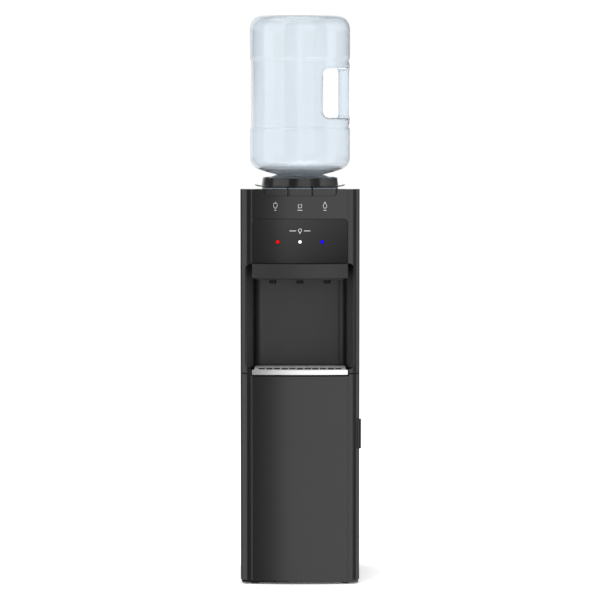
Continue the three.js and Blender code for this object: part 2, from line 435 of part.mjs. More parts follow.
// One square-cut tube of radius r with six sides along straight runs joined at mitred corners.
function serpentine(points, r) {
  const sides = 5, pos = [], idx = [];
  points.forEach((p, i) => {
    const a = points[Math.max(0, i - 1)], b = points[Math.min(points.length - 1, i + 1)];
    const dir = i === 0 ? b.clone().sub(p) : i === points.length - 1 ? p.clone().sub(a) : p.clone().sub(a).normalize().add(b.clone().sub(p).normalize());
    dir.normalize();
    const into = new THREE.Vector3(0, 1, 0), across = new THREE.Vector3().crossVectors(dir, into).normalize();
    let stretch = 1;
    if (i > 0 && i < points.length - 1) stretch = 1 / Math.max(0.6, p.clone().sub(a).normalize().dot(dir));
    for (let k = 0; k < sides; k++) {
      const t = (2 * Math.PI * k) / sides;
      const v = p.clone().addScaledVector(into, r * Math.cos(t)).addScaledVector(across, r * Math.sin(t) * stretch);
      pos.push(v.x, v.y, v.z);
    }
  });
  const n = points.length;
  for (let i = 0; i + 1 < n; i++) for (let k = 0; k < sides; k++) {
    const a = i * sides + k, b = i * sides + ((k + 1) % sides), c = a + sides, d = b + sides;
    idx.push(a, c, b, b, c, d);
  }
  for (let k = 1; k + 1 < sides; k++) { idx.push(0, k, k + 1); idx.push((n - 1) * sides, (n - 1) * sides + k + 1, (n - 1) * sides + k); }
  const g = new THREE.BufferGeometry();
  g.setAttribute('position', new THREE.BufferAttribute(new Float32Array(pos), 3));
  g.setIndex(idx);
  return solid(g);
}

export default dispenser;
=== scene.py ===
import json
import math
import bpy
import numpy as np
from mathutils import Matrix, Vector
from mathutils.geometry import delaunay_2d_cdt


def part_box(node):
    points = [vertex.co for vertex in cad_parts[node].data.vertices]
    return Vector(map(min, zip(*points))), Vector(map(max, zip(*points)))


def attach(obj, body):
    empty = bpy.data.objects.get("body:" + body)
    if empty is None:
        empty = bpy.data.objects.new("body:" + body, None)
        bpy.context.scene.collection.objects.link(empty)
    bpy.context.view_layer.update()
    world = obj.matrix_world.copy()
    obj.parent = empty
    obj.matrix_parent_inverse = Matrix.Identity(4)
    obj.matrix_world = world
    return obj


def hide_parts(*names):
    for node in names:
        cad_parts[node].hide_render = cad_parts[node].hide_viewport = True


with open("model.json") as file:
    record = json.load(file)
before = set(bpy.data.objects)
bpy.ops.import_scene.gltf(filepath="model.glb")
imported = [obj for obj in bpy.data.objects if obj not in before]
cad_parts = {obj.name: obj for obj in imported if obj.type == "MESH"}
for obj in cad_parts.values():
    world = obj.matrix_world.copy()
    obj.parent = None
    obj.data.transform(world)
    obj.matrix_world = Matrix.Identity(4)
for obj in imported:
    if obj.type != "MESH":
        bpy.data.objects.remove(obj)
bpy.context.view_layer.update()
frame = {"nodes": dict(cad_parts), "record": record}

# ------------------------------------------------------------------ places, in millimetres of the cabinet
X0 = (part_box("side_panel_left")[0].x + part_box("side_panel_right")[1].x) / 2
Y0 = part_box("door_panel")[0].y
AXIS_Y = 165.0
PH, HW, BOW, COLD = 124.0, 155.0, 6.8, 19.2
BX = (-63.2, 0.0, 63.2)
NX_ = (-70.6, 0.0, 70.6)
LX = (-57.6, 0.0, 57.6)
TAPS = ("hot", "room", "cold")


def W(p):
    return np.asarray(p, float) / 1000.0 + np.array([X0, Y0, 0.0])


def frontY(x):
    a = abs(x)
    if a <= PH:
        return BOW * (a / PH) ** 2
    w = min(1.0, (a - PH) / (HW - PH))
    return 26 - COLD * math.sqrt(1 - w * w)


# ------------------------------------------------------------------ materials
def ramp_mix(nt, fac, a, b, x=0, y=0):
    n = nt.nodes.new("ShaderNodeMix")
    n.data_type = "RGBA"
    n.inputs["A"].default_value = (*a, 1)
    n.inputs["B"].default_value = (*b, 1)
    nt.links.new(fac, n.inputs["Factor"])
    return n.outputs["Result"]


def pm(name, col, rough=0.4, metal=0.0, var=0.08, rvar=0.05, big=7.0, fine=900.0, bump=0.02, stretch=None,
       spec=None, ior=1.5, trans=0.0, emit=None, coat=0.0, coat_rough=0.08, tint=None, tint_fac=0.0):
    m = bpy.data.materials.new(name)
    m.use_nodes = True
    nt = m.node_tree
    bs = nt.nodes["Principled BSDF"]
    tc = nt.nodes.new("ShaderNodeTexCoord")
    mp = nt.nodes.new("ShaderNodeMapping")
    if stretch:
        mp.inputs["Scale"].default_value = stretch
    nt.links.new(tc.outputs["Object"], mp.inputs["Vector"])
    n1 = nt.nodes.new("ShaderNodeTexNoise")
    n1.inputs["Scale"].default_value = big
    n1.inputs["Detail"].default_value = 3
    nt.links.new(tc.outputs["Object"], n1.inputs["Vector"])
    lo = tuple(max(0.0, c * (1 - var)) for c in col)
    hi = tuple(min(1.0, c * (1 + var)) for c in col)
    nt.links.new(ramp_mix(nt, n1.outputs["Fac"], lo, hi), bs.inputs["Base Color"])
    n2 = nt.nodes.new("ShaderNodeTexNoise")
    n2.inputs["Scale"].default_value = big * 5
    n2.inputs["Detail"].default_value = 4
    nt.links.new(mp.outputs["Vector"], n2.inputs["Vector"])
    mr = nt.nodes.new("ShaderNodeMapRange")
    mr.inputs["To Min"].default_value = max(0.01, rough - rvar)
    mr.inputs["To Max"].default_value = min(1.0, rough + rvar)
    nt.links.new(n2.outputs["Fac"], mr.inputs["Value"])
    nt.links.new(mr.outputs["Result"], bs.inputs["Roughness"])
    n3 = nt.nodes.new("ShaderNodeTexNoise")
    n3.inputs["Scale"].default_value = fine
    n3.inputs["Detail"].default_value = 2
    nt.links.new(mp.outputs["Vector"], n3.inputs["Vector"])
    bp = nt.nodes.new("ShaderNodeBump")
    bp.inputs["Strength"].default_value = 1.0
    bp.inputs["Distance"].default_value = bump / 1000.0
    nt.links.new(n3.outputs["Fac"], bp.inputs["Height"])
    nt.links.new(bp.outputs["Normal"], bs.inputs["Normal"])
    bs.inputs["Metallic"].default_value = metal
    bs.inputs["IOR"].default_value = ior
    if spec is not None:
        bs.inputs["Specular IOR Level"].default_value = spec
    if trans:
        bs.inputs["Transmission Weight"].default_value = trans
    if coat:
        bs.inputs["Coat Weight"].default_value = coat
        bs.inputs["Coat Roughness"].default_value = coat_rough
    if emit:
        bs.inputs["Emission Color"].default_value = (*emit[:3], 1)
        bs.inputs["Emission Strength"].default_value = emit[3]
    return m


BLACK = (0.0092, 0.0092, 0.0095)
M = {
    "fascia_plastic": pm("fascia_plastic", BLACK, 0.125, var=0.10, rvar=0.015, bump=0.0012, fine=700),
    "door_plastic": pm("door_plastic", BLACK, 0.125, var=0.10, rvar=0.015, bump=0.0012, fine=700),
    "display_gloss": pm("display_gloss", (0.0090, 0.0090, 0.0092), 0.09, var=0.12, rvar=0.015, bump=0.0005, fine=400),
    "button_plastic": pm("button_plastic", (0.0105, 0.0108, 0.0115), 0.16, var=0.08, bump=0.0015, fine=900),
    "liner_plastic": pm("liner_plastic", (0.0215, 0.0215, 0.0222), 0.40, var=0.10, bump=0.006, fine=1600),
    "nozzle_plastic": pm("nozzle_plastic", (0.006, 0.006, 0.006), 0.20, var=0.10, bump=0.001, spec=0.12),
    "cabinet_steel": pm("cabinet_steel", (0.016, 0.016, 0.017), 0.34, var=0.10, bump=0.006, fine=1300),
    "trim_metal": pm("trim_metal", (0.78, 0.78, 0.78), 0.24, metal=1.0, var=0.05, bump=0.003, fine=260, stretch=(1, 1, 26)),
    "grille_steel": pm("grille_steel", (0.60, 0.60, 0.61), 0.42, metal=0.30, var=0.06, bump=0.004, fine=240, stretch=(1, 18, 18)),
    "seat_plastic": pm("seat_plastic", (0.016, 0.016, 0.0175), 0.13, var=0.10, bump=0.003),
    "support_plastic": pm("support_plastic", (0.155, 0.185, 0.215), 0.34, var=0.08, bump=0.004),
    "probe_plastic": pm("probe_plastic", (0.72, 0.73, 0.72), 0.38, var=0.05, bump=0.004),
    "bottle_clear": pm("bottle_clear", (0.845, 0.889, 0.925), 0.06, var=0.012, rvar=0.02, trans=1.0, ior=1.45, bump=0.0, fine=30),
    "cap_blue": pm("cap_blue", (0.24, 0.52, 0.76), 0.36, var=0.06, bump=0.004),
    "lamp_red": pm("lamp_red", (0.35, 0.002, 0.002), 0.5, var=0.05, spec=0.02, emit=(1.0, 0.0, 0.0, 1.0)),
    "lamp_white": pm("lamp_white", (0.8, 0.8, 0.8), 0.4, var=0.03, emit=(1.0, 1.0, 1.0, 0.7)),
    "lamp_blue": pm("lamp_blue", (0.004, 0.002, 0.35), 0.5, var=0.05, spec=0.02, emit=(0.012, 0.0, 1.0, 1.1)),
    "board": pm("board", (0.02, 0.16, 0.06), 0.4, var=0.2, bump=0.01),
    "spring_steel": pm("spring_steel", (0.60, 0.60, 0.60), 0.28, metal=1.0, var=0.06, bump=0.002),
    "silicone": pm("silicone", (0.62, 0.64, 0.63), 0.40, var=0.06, trans=0.15, bump=0.004),
    "stainless": pm("stainless", (0.58, 0.58, 0.58), 0.26, metal=1.0, var=0.06, bump=0.003, stretch=(1, 1, 14)),
    "foam": pm("foam", (0.13, 0.13, 0.135), 0.9, var=0.2, bump=0.25, fine=500),
    "copper": pm("copper", (0.72, 0.36, 0.20), 0.28, metal=1.0, var=0.12, bump=0.003),
    "black_enamel": pm("black_enamel", (0.013, 0.013, 0.014), 0.22, var=0.12, bump=0.006, fine=500),
    "black_nylon": pm("black_nylon", (0.018, 0.018, 0.019), 0.45, var=0.12, bump=0.012, fine=1500),
    "switch_red": pm("switch_red", (0.42, 0.012, 0.012), 0.3, var=0.08, bump=0.004),
    "switch_green": pm("switch_green", (0.015, 0.17, 0.04), 0.3, var=0.08, bump=0.004),
    "foot_rubber": pm("foot_rubber", (0.014, 0.014, 0.014), 0.65, var=0.15, bump=0.02, fine=1200),
}


def paint_shade_by_height(m, lo, hi, stops):
    """Multiplies a material's base colour by a grey ramp over object height, in metres: painted shade where the ramp is
    below 1, painted light where it is above 1.
    """
    nt = m.node_tree
    bs = nt.nodes["Principled BSDF"]
    was = bs.inputs["Base Color"].links[0].from_socket
    tc = nt.nodes.new("ShaderNodeTexCoord")
    sp = nt.nodes.new("ShaderNodeSeparateXYZ")
    nt.links.new(tc.outputs["Object"], sp.inputs[0])
    mr = nt.nodes.new("ShaderNodeMapRange")
    mr.inputs["From Min"].default_value, mr.inputs["From Max"].default_value = lo, hi
    nt.links.new(sp.outputs["Z"], mr.inputs["Value"])
    rp = nt.nodes.new("ShaderNodeValToRGB")
    while len(rp.color_ramp.elements) < len(stops):
        rp.color_ramp.elements.new(0.5)
    for el, (z, v) in zip(rp.color_ramp.elements, stops):
        el.position, el.color = (z - lo) / (hi - lo), (v, v, v, 1)
    nt.links.new(mr.outputs["Result"], rp.inputs["Fac"])
    mu = nt.nodes.new("ShaderNodeMix")
    mu.data_type, mu.blend_type = "RGBA", "MULTIPLY"
    mu.inputs["Factor"].default_value = 1.0
    nt.links.new(was, mu.inputs["A"])
    nt.links.new(rp.outputs["Color"], mu.inputs["B"])
    nt.links.new(mu.outputs["Result"], bs.inputs["Base Color"])


# painted shade: the bottle is darkened below and at its shoulder, where it faces down towards the black cabinet, and
# slightly at its top rounding
paint_shade_by_height(M["bottle_clear"], 1.0, 1.49, [(1.0, 0.68), (1.066, 0.68), (1.0755, 0.63), (1.0795, 0.50), (1.084, 0.80), (1.090, 0.97), (1.098, 1.0), (1.45, 1.0), (1.466, 0.96), (1.473, 0.91), (1.479, 0.98)])


def sheen_gradient(m, a, bx, cz, x0, z0):
    """Painted reflection: the display panel's gloss weakens to the right and downwards: specular level = a - bx (x -
    x0) - cz (z0 - z).
    """
    nt = m.node_tree
    bs = nt.nodes["Principled BSDF"]
    tc = nt.nodes.new("ShaderNodeTexCoord")
    dt = nt.nodes.new("ShaderNodeVectorMath")
    dt.operation = "DOT_PRODUCT"
    dt.inputs[1].default_value = (-bx, 0, cz)
    nt.links.new(tc.outputs["Object"], dt.inputs[0])
    ad = nt.nodes.new("ShaderNodeMath")
    ad.operation = "ADD"
    ad.use_clamp = True
    ad.inputs[1].default_value = a + bx * x0 - cz * z0
    nt.links.new(dt.outputs["Value"], ad.inputs[0])
    nt.links.new(ad.outputs[0], bs.inputs["Specular IOR Level"])


sheen_gradient(M["display_gloss"], 0.43, 1.285, 1.42, -0.048, 0.9465)


def paint_shade_by_side(m, stops):
    """Multiplies a material's base colour by a grey ramp over the distance from the object's middle plane, in metres:
    painted shade where the ramp is low.
    """
    nt = m.node_tree
    bs = nt.nodes["Principled BSDF"]
    was = bs.inputs["Base Color"].links[0].from_socket
    tc = nt.nodes.new("ShaderNodeTexCoord")
    sp = nt.nodes.new("ShaderNodeSeparateXYZ")
    nt.links.new(tc.outputs["Object"], sp.inputs[0])
    sb = nt.nodes.new("ShaderNodeMath")
    sb.operation = "SUBTRACT"
    sb.inputs[1].default_value = X0
    nt.links.new(sp.outputs["X"], sb.inputs[0])
    ab = nt.nodes.new("ShaderNodeMath")
    ab.operation = "ABSOLUTE"
    nt.links.new(sb.outputs[0], ab.inputs[0])
    mr = nt.nodes.new("ShaderNodeMapRange")
    mr.inputs["From Max"].default_value = 0.15
    nt.links.new(ab.outputs[0], mr.inputs["Value"])
    rp = nt.nodes.new("ShaderNodeValToRGB")
    while len(rp.color_ramp.elements) < len(stops):
        rp.color_ramp.elements.new(0.5)
    for el, (x, v) in zip(rp.color_ramp.elements, stops):
        el.position, el.color = x / 0.15, (v, v, v, 1)
    nt.links.new(mr.outputs["Result"], rp.inputs["Fac"])
    mu = nt.nodes.new("ShaderNodeMix")
    mu.data_type, mu.blend_type = "RGBA", "MULTIPLY"
    mu.inputs["Factor"].default_value = 1.0
    nt.links.new(was, mu.inputs["A"])
    nt.links.new(rp.outputs["Color"], mu.inputs["B"])
    nt.links.new(mu.outputs["Result"], bs.inputs["Base Color"])


ALCOVE = pm("alcove_plastic_painted_shade", (0.066, 0.066, 0.068), 0.40, var=0.08, bump=0.006, fine=1600)
# painted shade in the alcove wall's back corners; the side flanks are lighter
paint_shade_by_side(ALCOVE, [(0.0, 0.308), (0.096, 0.300), (0.101, 0.265), (0.106, 0.185), (0.1113, 0.125), (0.116, 0.080), (0.119, 0.072), (0.1222, 0.075), (0.1226, 0.95), (0.128, 0.86), (0.134, 0.70), (0.140, 0.58)])
# painted shadow line along the wall's foot, with painted light just above it
paint_shade_by_height(ALCOVE, 0.54, 0.64, [(0.54, 0.25), (0.5652, 0.25), (0.5668, 1.22), (0.60, 1.0), (0.64, 1.0)])
SPOUT = pm("spout_cover_plastic", (0.0125, 0.0125, 0.0128), 0.46, var=0.10, bump=0.003, fine=1200)
INK = pm("print_ink", (0.74, 0.74, 0.75), 0.5, var=0.05, bump=0.002)
# painted reflection: a light grey-blue film on each button's top face stands in for the reflection on it
TOP_REFLECTION = pm("button_top_painted_reflection", (0.125, 0.140, 0.162), 0.55, var=0.06, bump=0.002, fine=1200, spec=0.15)
# DARK is a near-black stand-in for shade: it paints shade on pieces in gaps and recesses, and colours the lamp bezels
DARK = pm("deep_shadow_plastic", (0.006, 0.006, 0.006), 0.6, var=0.1, bump=0.01)


# ------------------------------------------------------------------ mesh helpers
def put(name, me, body, slot=None, mat=None, repl=()):
    o = bpy.data.objects.new(name, me)
    bpy.context.scene.collection.objects.link(o)
    o.data.materials.append(mat or M[slot])
    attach(o, body)
    if repl:
        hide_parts(*repl)
    return o


def volume(v, faces):
    s = 0.0
    for f in faces:
        a = v[f[0]]
        for i in range(1, len(f) - 1):
            s += np.dot(a, np.cross(v[f[i]], v[f[i + 1]]))
    return s / 6


def soften(p, r, n=3, closed=True):
    """Rounds the corners of a polyline with radius-like distance r."""
    p = [np.array(q, float) for q in p]
    out, N = [], len(p)
    for i in range(N):
        if not closed and i in (0, N - 1):
            out.append(p[i])
            continue
        a, b, c = p[i - 1], p[i], p[(i + 1) % N]
        la, lc = np.linalg.norm(a - b), np.linalg.norm(c - b)
        if la < 1e-6 or lc < 1e-6:
            continue
        cosv = np.dot((a - b) / la, (c - b) / lc)
        if cosv < -0.985:
            out.append(b)
            continue
        d = min(r, 0.42 * la, 0.42 * lc)
        s, e = b + (a - b) / la * d, b + (c - b) / lc * d
        for k in range(n + 1):
            t = k / n
            out.append((1 - t) ** 2 * s + 2 * t * (1 - t) * b + t * t * e)
    return [tuple(q) for q in out]


def turn(name, prof, cx, cy, body, slot, n=96, r=0.6, repl=(), axis="z", cz=0.0, mat=None, sharp=32):
    closed = prof[0][0] > 1e-6 or prof[-1][0] > 1e-6
    pf = soften(prof, r, 3, closed) if r else [tuple(q) for q in prof]
    rings, V = [], []
    for (rr, z) in pf:
        if rr < 1e-6:
            rings.append([len(V)])
            V.append((0, 0, z))
        else:
            rings.append(list(range(len(V), len(V) + n)))
            V += [(rr * math.cos(2 * math.pi * k / n), rr * math.sin(2 * math.pi * k / n), z) for k in range(n)]
    F = []
    for i in range(len(rings) if closed else len(rings) - 1):
        a, b = rings[i], rings[(i + 1) % len(rings)]
        for k in range(n):
            q = [a[k % len(a)], a[(k + 1) % n % len(a)], b[(k + 1) % n % len(b)], b[k % len(b)]]
            q = [x for j, x in enumerate(q) if x not in q[:j]]
            if len(q) > 2:
                F.append(q)
    V = np.array(V, float)
    if volume(V, F) < 0:
        F = [f[::-1] for f in F]
    if axis == "y":  # the profile's z runs along +Y
        V = np.stack([V[:, 0], V[:, 2], -V[:, 1]], 1)
    V = V + np.array([cx, cy, cz])
    if volume(V - np.array([cx, cy, cz]), F) < 0:
        F = [f[::-1] for f in F]
    me = bpy.data.meshes.new(name)
    me.from_pydata([tuple(v) for v in W(V)], [], F)
    me.shade_smooth()
    me.set_sharp_from_angle(angle=math.radians(sharp))
    return put(name, me, body, slot, mat, repl)


def prism(name, pts, a0, a1, body, slot, axis="z", bevel=0.6, seg=3, repl=(), mat=None, move=(0, 0, 0)):
    """pts in the plane across the axis: z -> (x, y), y -> (x, z), x -> (y, z)."""
    pts = [tuple(p) for p in pts]
    n = len(pts)
    put3 = {"z": lambda p, a: (p[0], p[1], a), "y": lambda p, a: (p[0], a, p[1]), "x": lambda p, a: (a, p[0], p[1])}[axis]
    V = np.array([put3(p, a0) for p in pts] + [put3(p, a1) for p in pts], float) + np.array(move, float)
    F = [list(range(n))[::-1], list(range(n, 2 * n))] + [[i, (i + 1) % n, n + (i + 1) % n, n + i] for i in range(n)]
    if volume(V, F) < 0:
        F = [f[::-1] for f in F]
    me = bpy.data.meshes.new(name)
    me.from_pydata([tuple(v) for v in W(V)], [], F)
    me.shade_smooth()
    me.set_sharp_from_angle(angle=math.radians(32))
    o = put(name, me, body, slot, mat, repl)
    if bevel:
        add_bevel(o, bevel, seg)
    return o


def add_bevel(o, w, seg=3):
    b = o.modifiers.new("edge", "BEVEL")
    b.width = w / 1000
    b.segments = seg
    b.limit_method = "ANGLE"
    b.angle_limit = math.radians(34)
    b.use_clamp_overlap = True
    b.miter_outer = "MITER_ARC"
    b.harden_normals = True


def box(name, x0, x1, y0, y1, z0, z1, body, slot, bevel=0.6, **k):
    return prism(name, [(x0, y0), (x1, y0), (x1, y1), (x0, y1)], z0, z1, body, slot, bevel=bevel, **k)


def rrect(x0, x1, z0, z1, r, n=8):
    """A counter-clockwise rounded rectangle; r is one radius or (bl, br, tr, tl)."""
    R = r if isinstance(r, (tuple, list)) else (r,) * 4
    c = [(x0, z0, 180), (x1, z0, 270), (x1, z1, 0), (x0, z1, 90)]
    s = [(1, 1), (-1, 1), (-1, -1), (1, -1)]
    out = []
    for (cx, cz, a), (sx, sz), q in zip(c, s, R):
        if q < 1e-6:
            out.append((cx, cz))
            continue
        for k in range(n + 1):
            t = math.radians(a + 90 * k / n)
            out.append((cx + sx * q + q * math.cos(t), cz + sz * q + q * math.sin(t)))
    return out


def corner(cx, cz, r, a0, a1, n=8):
    return [(cx + r * math.cos(math.radians(a0 + (a1 - a0) * k / n)), cz + r * math.sin(math.radians(a0 + (a1 - a0) * k / n))) for k in range(n + 1)]


def area2(l):
    x, y = l.T
    return 0.5 * np.sum(x * np.roll(y, -1) - np.roll(x, -1) * y)


def dens(loop, step, cols):
    out, n = [], len(loop)
    for i in range(n):
        a, b = np.array(loop[i], float), np.array(loop[(i + 1) % n], float)
        L = float(np.hypot(*(b - a)))
        if L < 1e-6:
            continue
        ts = [j / max(1, math.ceil(L / step)) for j in range(max(1, math.ceil(L / step)))]
        if cols is not None and abs(b[0] - a[0]) > 4:
            ex = [(c - a[0]) / (b[0] - a[0]) for c in cols if min(a[0], b[0]) + 0.3 < c < max(a[0], b[0]) - 0.3]
            ts = [t for t in ts if t == 0 or all(abs(t - e) * L > 0.35 for e in ex)] + ex
        for t in sorted(ts):
            out.append(a + (b - a) * t)
    return np.array(out)


def offs(l, d):
    e = np.roll(l, -1, 0) - l
    e /= np.linalg.norm(e, axis=1)[:, None]
    n = np.stack([-e[:, 1], e[:, 0]], 1)
    p = np.roll(n, 1, 0)
    m = (n + p) / np.maximum(0.35, 1 + np.sum(n * p, 1))[:, None]
    return l + d * m, m


def inside(pts, loops):
    c = np.zeros(len(pts), int)
    for s in range(0, len(pts), 2000):
        px, py = pts[s:s + 2000, 0][:, None], pts[s:s + 2000, 1][:, None]
        for l in loops:
            x1, y1 = l.T
            x2, y2 = np.roll(l, -1, 0).T
            dy = np.where(np.abs(y2 - y1) < 1e-12, 1e-12, y2 - y1)
            k = ((y1 > py) != (y2 > py)) & (px < (x2 - x1) * (py - y1) / dy + x1)
            c[s:s + 2000] += k.sum(1)
    return c % 2 == 1


def plate(name, outer, holes, pos, thick, body, slot, f=1.0, K=4, cols=None, step=3.0, rows=16.0, repl=(), mat=None):
    """A plate on a curved surface: pos(u, v, depth) -> points. Its front edges are rounded with radius f."""
    loops = []
    for i, l in enumerate([outer] + list(holes)):
        l = dens(l, step, cols)
        if (area2(l) > 0) != (i == 0):
            l = l[::-1].copy()
        loops.append(l)
    inset = [offs(l, f)[0] for l in loops]
    G, E = [], []
    base = sum(len(l) for l in loops)
    if cols is not None:
        for c in cols:
            ys = []
            for l in inset:
                x1, y1 = l.T
                x2, y2 = np.roll(l, -1, 0).T
                k = (x1 > c) != (x2 > c)
                ys += list(y1[k] + (c - x1[k]) * (y2[k] - y1[k]) / (x2[k] - x1[k]))
            ys.sort()
            for a, b in zip(ys[::2], ys[1::2]):
                if b - a < 4:
                    continue
                m = max(1, int((b - a - 3) / rows))
                for j in range(m + 1):
                    G.append((c, a + 1.5 + (b - a - 3) * j / m))
                    if j:
                        E.append((base + len(G) - 2, base + len(G) - 1))
    G = np.array(G, float).reshape(-1, 2)
    if len(G):  # keep grid points off the rounded edge
        allp = np.concatenate(inset)
        far = np.array([np.min(np.hypot(*(allp - g).T)) > 0.6 for g in G])
        keep = np.cumsum(far) - 1
        E = [(base + keep[a - base], base + keep[b - base]) for a, b in E if far[a - base] and far[b - base]]
        G = G[far]
    pts = np.concatenate(inset + ([G] if len(G) else []))
    s = 0
    for l in inset:
        E += [(s + i, s + (i + 1) % len(l)) for i in range(len(l))]
        s += len(l)

    def cdt(edges):
        return delaunay_2d_cdt([Vector(p) for p in pts], [(int(a), int(b)) for a, b in edges], [], 0, 1e-5, True)
    ov, oe, of_, orv, ore, orf = cdt(E)
    if any(not o for o in orv):
        print("CDT fallback", name)
        ov, oe, of_, orv, ore, orf = cdt(E[-s:])
    idx = [o[0] if o else -1 for o in orv]
    T = [tuple(idx[i] for i in t) for t in of_ if all(idx[i] >= 0 for i in t)]
    T = np.array(T, int)
    cen = pts[T].mean(1)
    T = T[inside(cen, inset)]
    a = pts[T]
    sg = (a[:, 1, 0] - a[:, 0, 0]) * (a[:, 2, 1] - a[:, 0, 1]) - (a[:, 2, 0] - a[:, 0, 0]) * (a[:, 1, 1] - a[:, 0, 1])
    T[sg < 0] = T[sg < 0][:, ::-1]

    e = 0.12

    def frame_at(p):
        du = pos(p[:, 0] + e, p[:, 1], 0 * p[:, 0]) - pos(p[:, 0] - e, p[:, 1], 0 * p[:, 0])
        dv = pos(p[:, 0], p[:, 1] + e, 0 * p[:, 0]) - pos(p[:, 0], p[:, 1] - e, 0 * p[:, 0])
        dd = pos(p[:, 0], p[:, 1], 0 * p[:, 0]) - pos(p[:, 0], p[:, 1], 0 * p[:, 0] + 1)
        n = np.cross(du, dv)
        sign = np.sign(np.sum(n * dd, 1))
        n = n * sign[:, None] / np.linalg.norm(n, axis=1)[:, None]
        du /= np.linalg.norm(du, axis=1)[:, None]
        dv /= np.linalg.norm(dv, axis=1)[:, None]
        return n, du, dv, sign
    V, N, F, FG = [], [], [], []
    nfront, _, _, sgn = frame_at(pts)
    V.append(pos(pts[:, 0], pts[:, 1], 0 * pts[:, 0]))
    N.append(nfront)
    count = len(pts)
    for t in T:
        F.append(tuple(int(i) for i in t))
        FG.append(0)
    backidx = np.zeros(len(pts), int)
    s0 = 0
    for l in loops:
        L = len(l)
        prev = list(range(s0, s0 + L))
        for k in range(1, K + 1):
            t = math.pi / 2 * k / K
            p, m = offs(l, f * (1 - math.sin(t)))
            n, du, dv, _ = frame_at(p)
            out = -(du * m[:, :1] + dv * m[:, 1:])
            ax = pos(p[:, 0], p[:, 1], 0 * p[:, 0] + 1) - pos(p[:, 0], p[:, 1], 0 * p[:, 0] + 2)
            ax /= np.linalg.norm(ax, axis=1)[:, None]
            out -= ax * np.sum(out * ax, 1)[:, None]  # the plate's wall runs along its depth
            out /= np.linalg.norm(out, axis=1)[:, None]
            V.append(pos(p[:, 0], p[:, 1], 0 * p[:, 0] + f * (1 - math.cos(t))))
            N.append(math.cos(t) * n + math.sin(t) * out)
            cur = list(range(count, count + L))
            count += L
            for i in range(L):
                j = (i + 1) % L
                F.append((prev[i], cur[i], cur[j], prev[j]))
                FG.append(0)
            prev = cur
        p = l
        n, du, dv, _ = frame_at(p)
        V.append(pos(p[:, 0], p[:, 1], 0 * p[:, 0] + thick))
        N.append(out)
        cur = list(range(count, count + L))
        count += L
        for i in range(L):
            j = (i + 1) % L
            F.append((prev[i], cur[i], cur[j], prev[j]))
            FG.append(0)
        backidx[s0:s0 + L] = cur
        s0 += L
    if len(G):
        V.append(pos(G[:, 0], G[:, 1], 0 * G[:, 0] + thick))
        N.append(-nfront[s0:])
        backidx[s0:] = np.arange(count, count + len(G))
        count += len(G)
    NB = {int(b): -nfront[i] for i, b in enumerate(backidx)}
    for t in T:
        F.append(tuple(int(backidx[i]) for i in t[::-1]))
        FG.append(1)
    V, N = np.concatenate(V), np.concatenate(N)
    if sgn[0] < 0:
        F = [f_[::-1] for f_ in F]
    me = bpy.data.meshes.new(name)
    me.from_pydata([tuple(v) for v in W(V)], [], F)
    me.shade_smooth()
    ln = []
    for poly, g in zip(me.polygons, FG):
        for vi in poly.vertices:
            ln.append(tuple(N[vi] if g == 0 else NB[vi]))
    me.normals_split_custom_set(ln)
    return put(name, me, body, slot, mat, repl)


# the bowed front's profile: u is x on the front, then the length round the column and along the side
_ph = np.linspace(0, math.pi / 2, 60)
_fx = np.linspace(0, PH, 120)
_s = BOW * 2 * _fx / PH ** 2
_n = 1 / np.sqrt(1 + _s ** 2)
_cx, _cy = PH + (HW - PH) * np.sin(_ph), 26 - COLD * np.cos(_ph)
_ct = np.stack([(HW - PH) * np.cos(_ph), COLD * np.sin(_ph)], 1)
_ct /= np.linalg.norm(_ct, axis=1)[:, None]
_cl = np.concatenate([[0], np.cumsum(np.hypot(np.diff(_cx), np.diff(_cy)))])
PU = np.concatenate([_fx, PH + 0.02 + _cl, [PH + 0.02 + _cl[-1] + 60]])
PX = np.concatenate([_fx, _cx, [HW]])
PY = np.concatenate([BOW * (_fx / PH) ** 2, _cy, [26 + 60]])
PNX = np.concatenate([_s * _n, _ct[:, 1], [1.0]])
PNY = np.concatenate([_n, _ct[:, 0], [0.0]])
U_CORNER = PH + 0.02 + float(_cl[-1])


def bowed(front=0.0, groove=0.11, axis_end=None):
    def pos(u, v, d):
        u, v, d = (np.asarray(q, float) for q in (u, v, d))
        a, s = np.abs(u), np.sign(u)
        dd = d + front + (groove * np.exp(-((a - PH) / 0.55) ** 2) * np.clip(1 - d, 0, 1) if groove else 0)
        x, y = np.interp(a, PU, PX), np.interp(a, PU, PY)
        nx, ny = np.interp(a, PU, PNX), np.interp(a, PU, PNY)
        return np.stack([s * (x - nx * dd), y + ny * dd, v + 0 * a], 1)
    return pos


def flat_y(y):
    return lambda u, v, d: np.stack([u, y + d, v], 1)


def top_z(z, slope=0.0, y0=0.0):
    return lambda u, v, d: np.stack([u, v, z + slope * (v - y0) - d], 1)


_half = [124.02 + k for k in (-2.6, -1.3, -0.75, -0.38, 0, 0.38, 0.75, 1.3, 2.6)] + list(np.arange(129.5, U_CORNER + 3, 2.4))
COLS = sorted(list(np.arange(-116, 117, 8.0)) + _half + [-c for c in _half])
FCOLS = list(np.arange(-116, 117, 8.0))


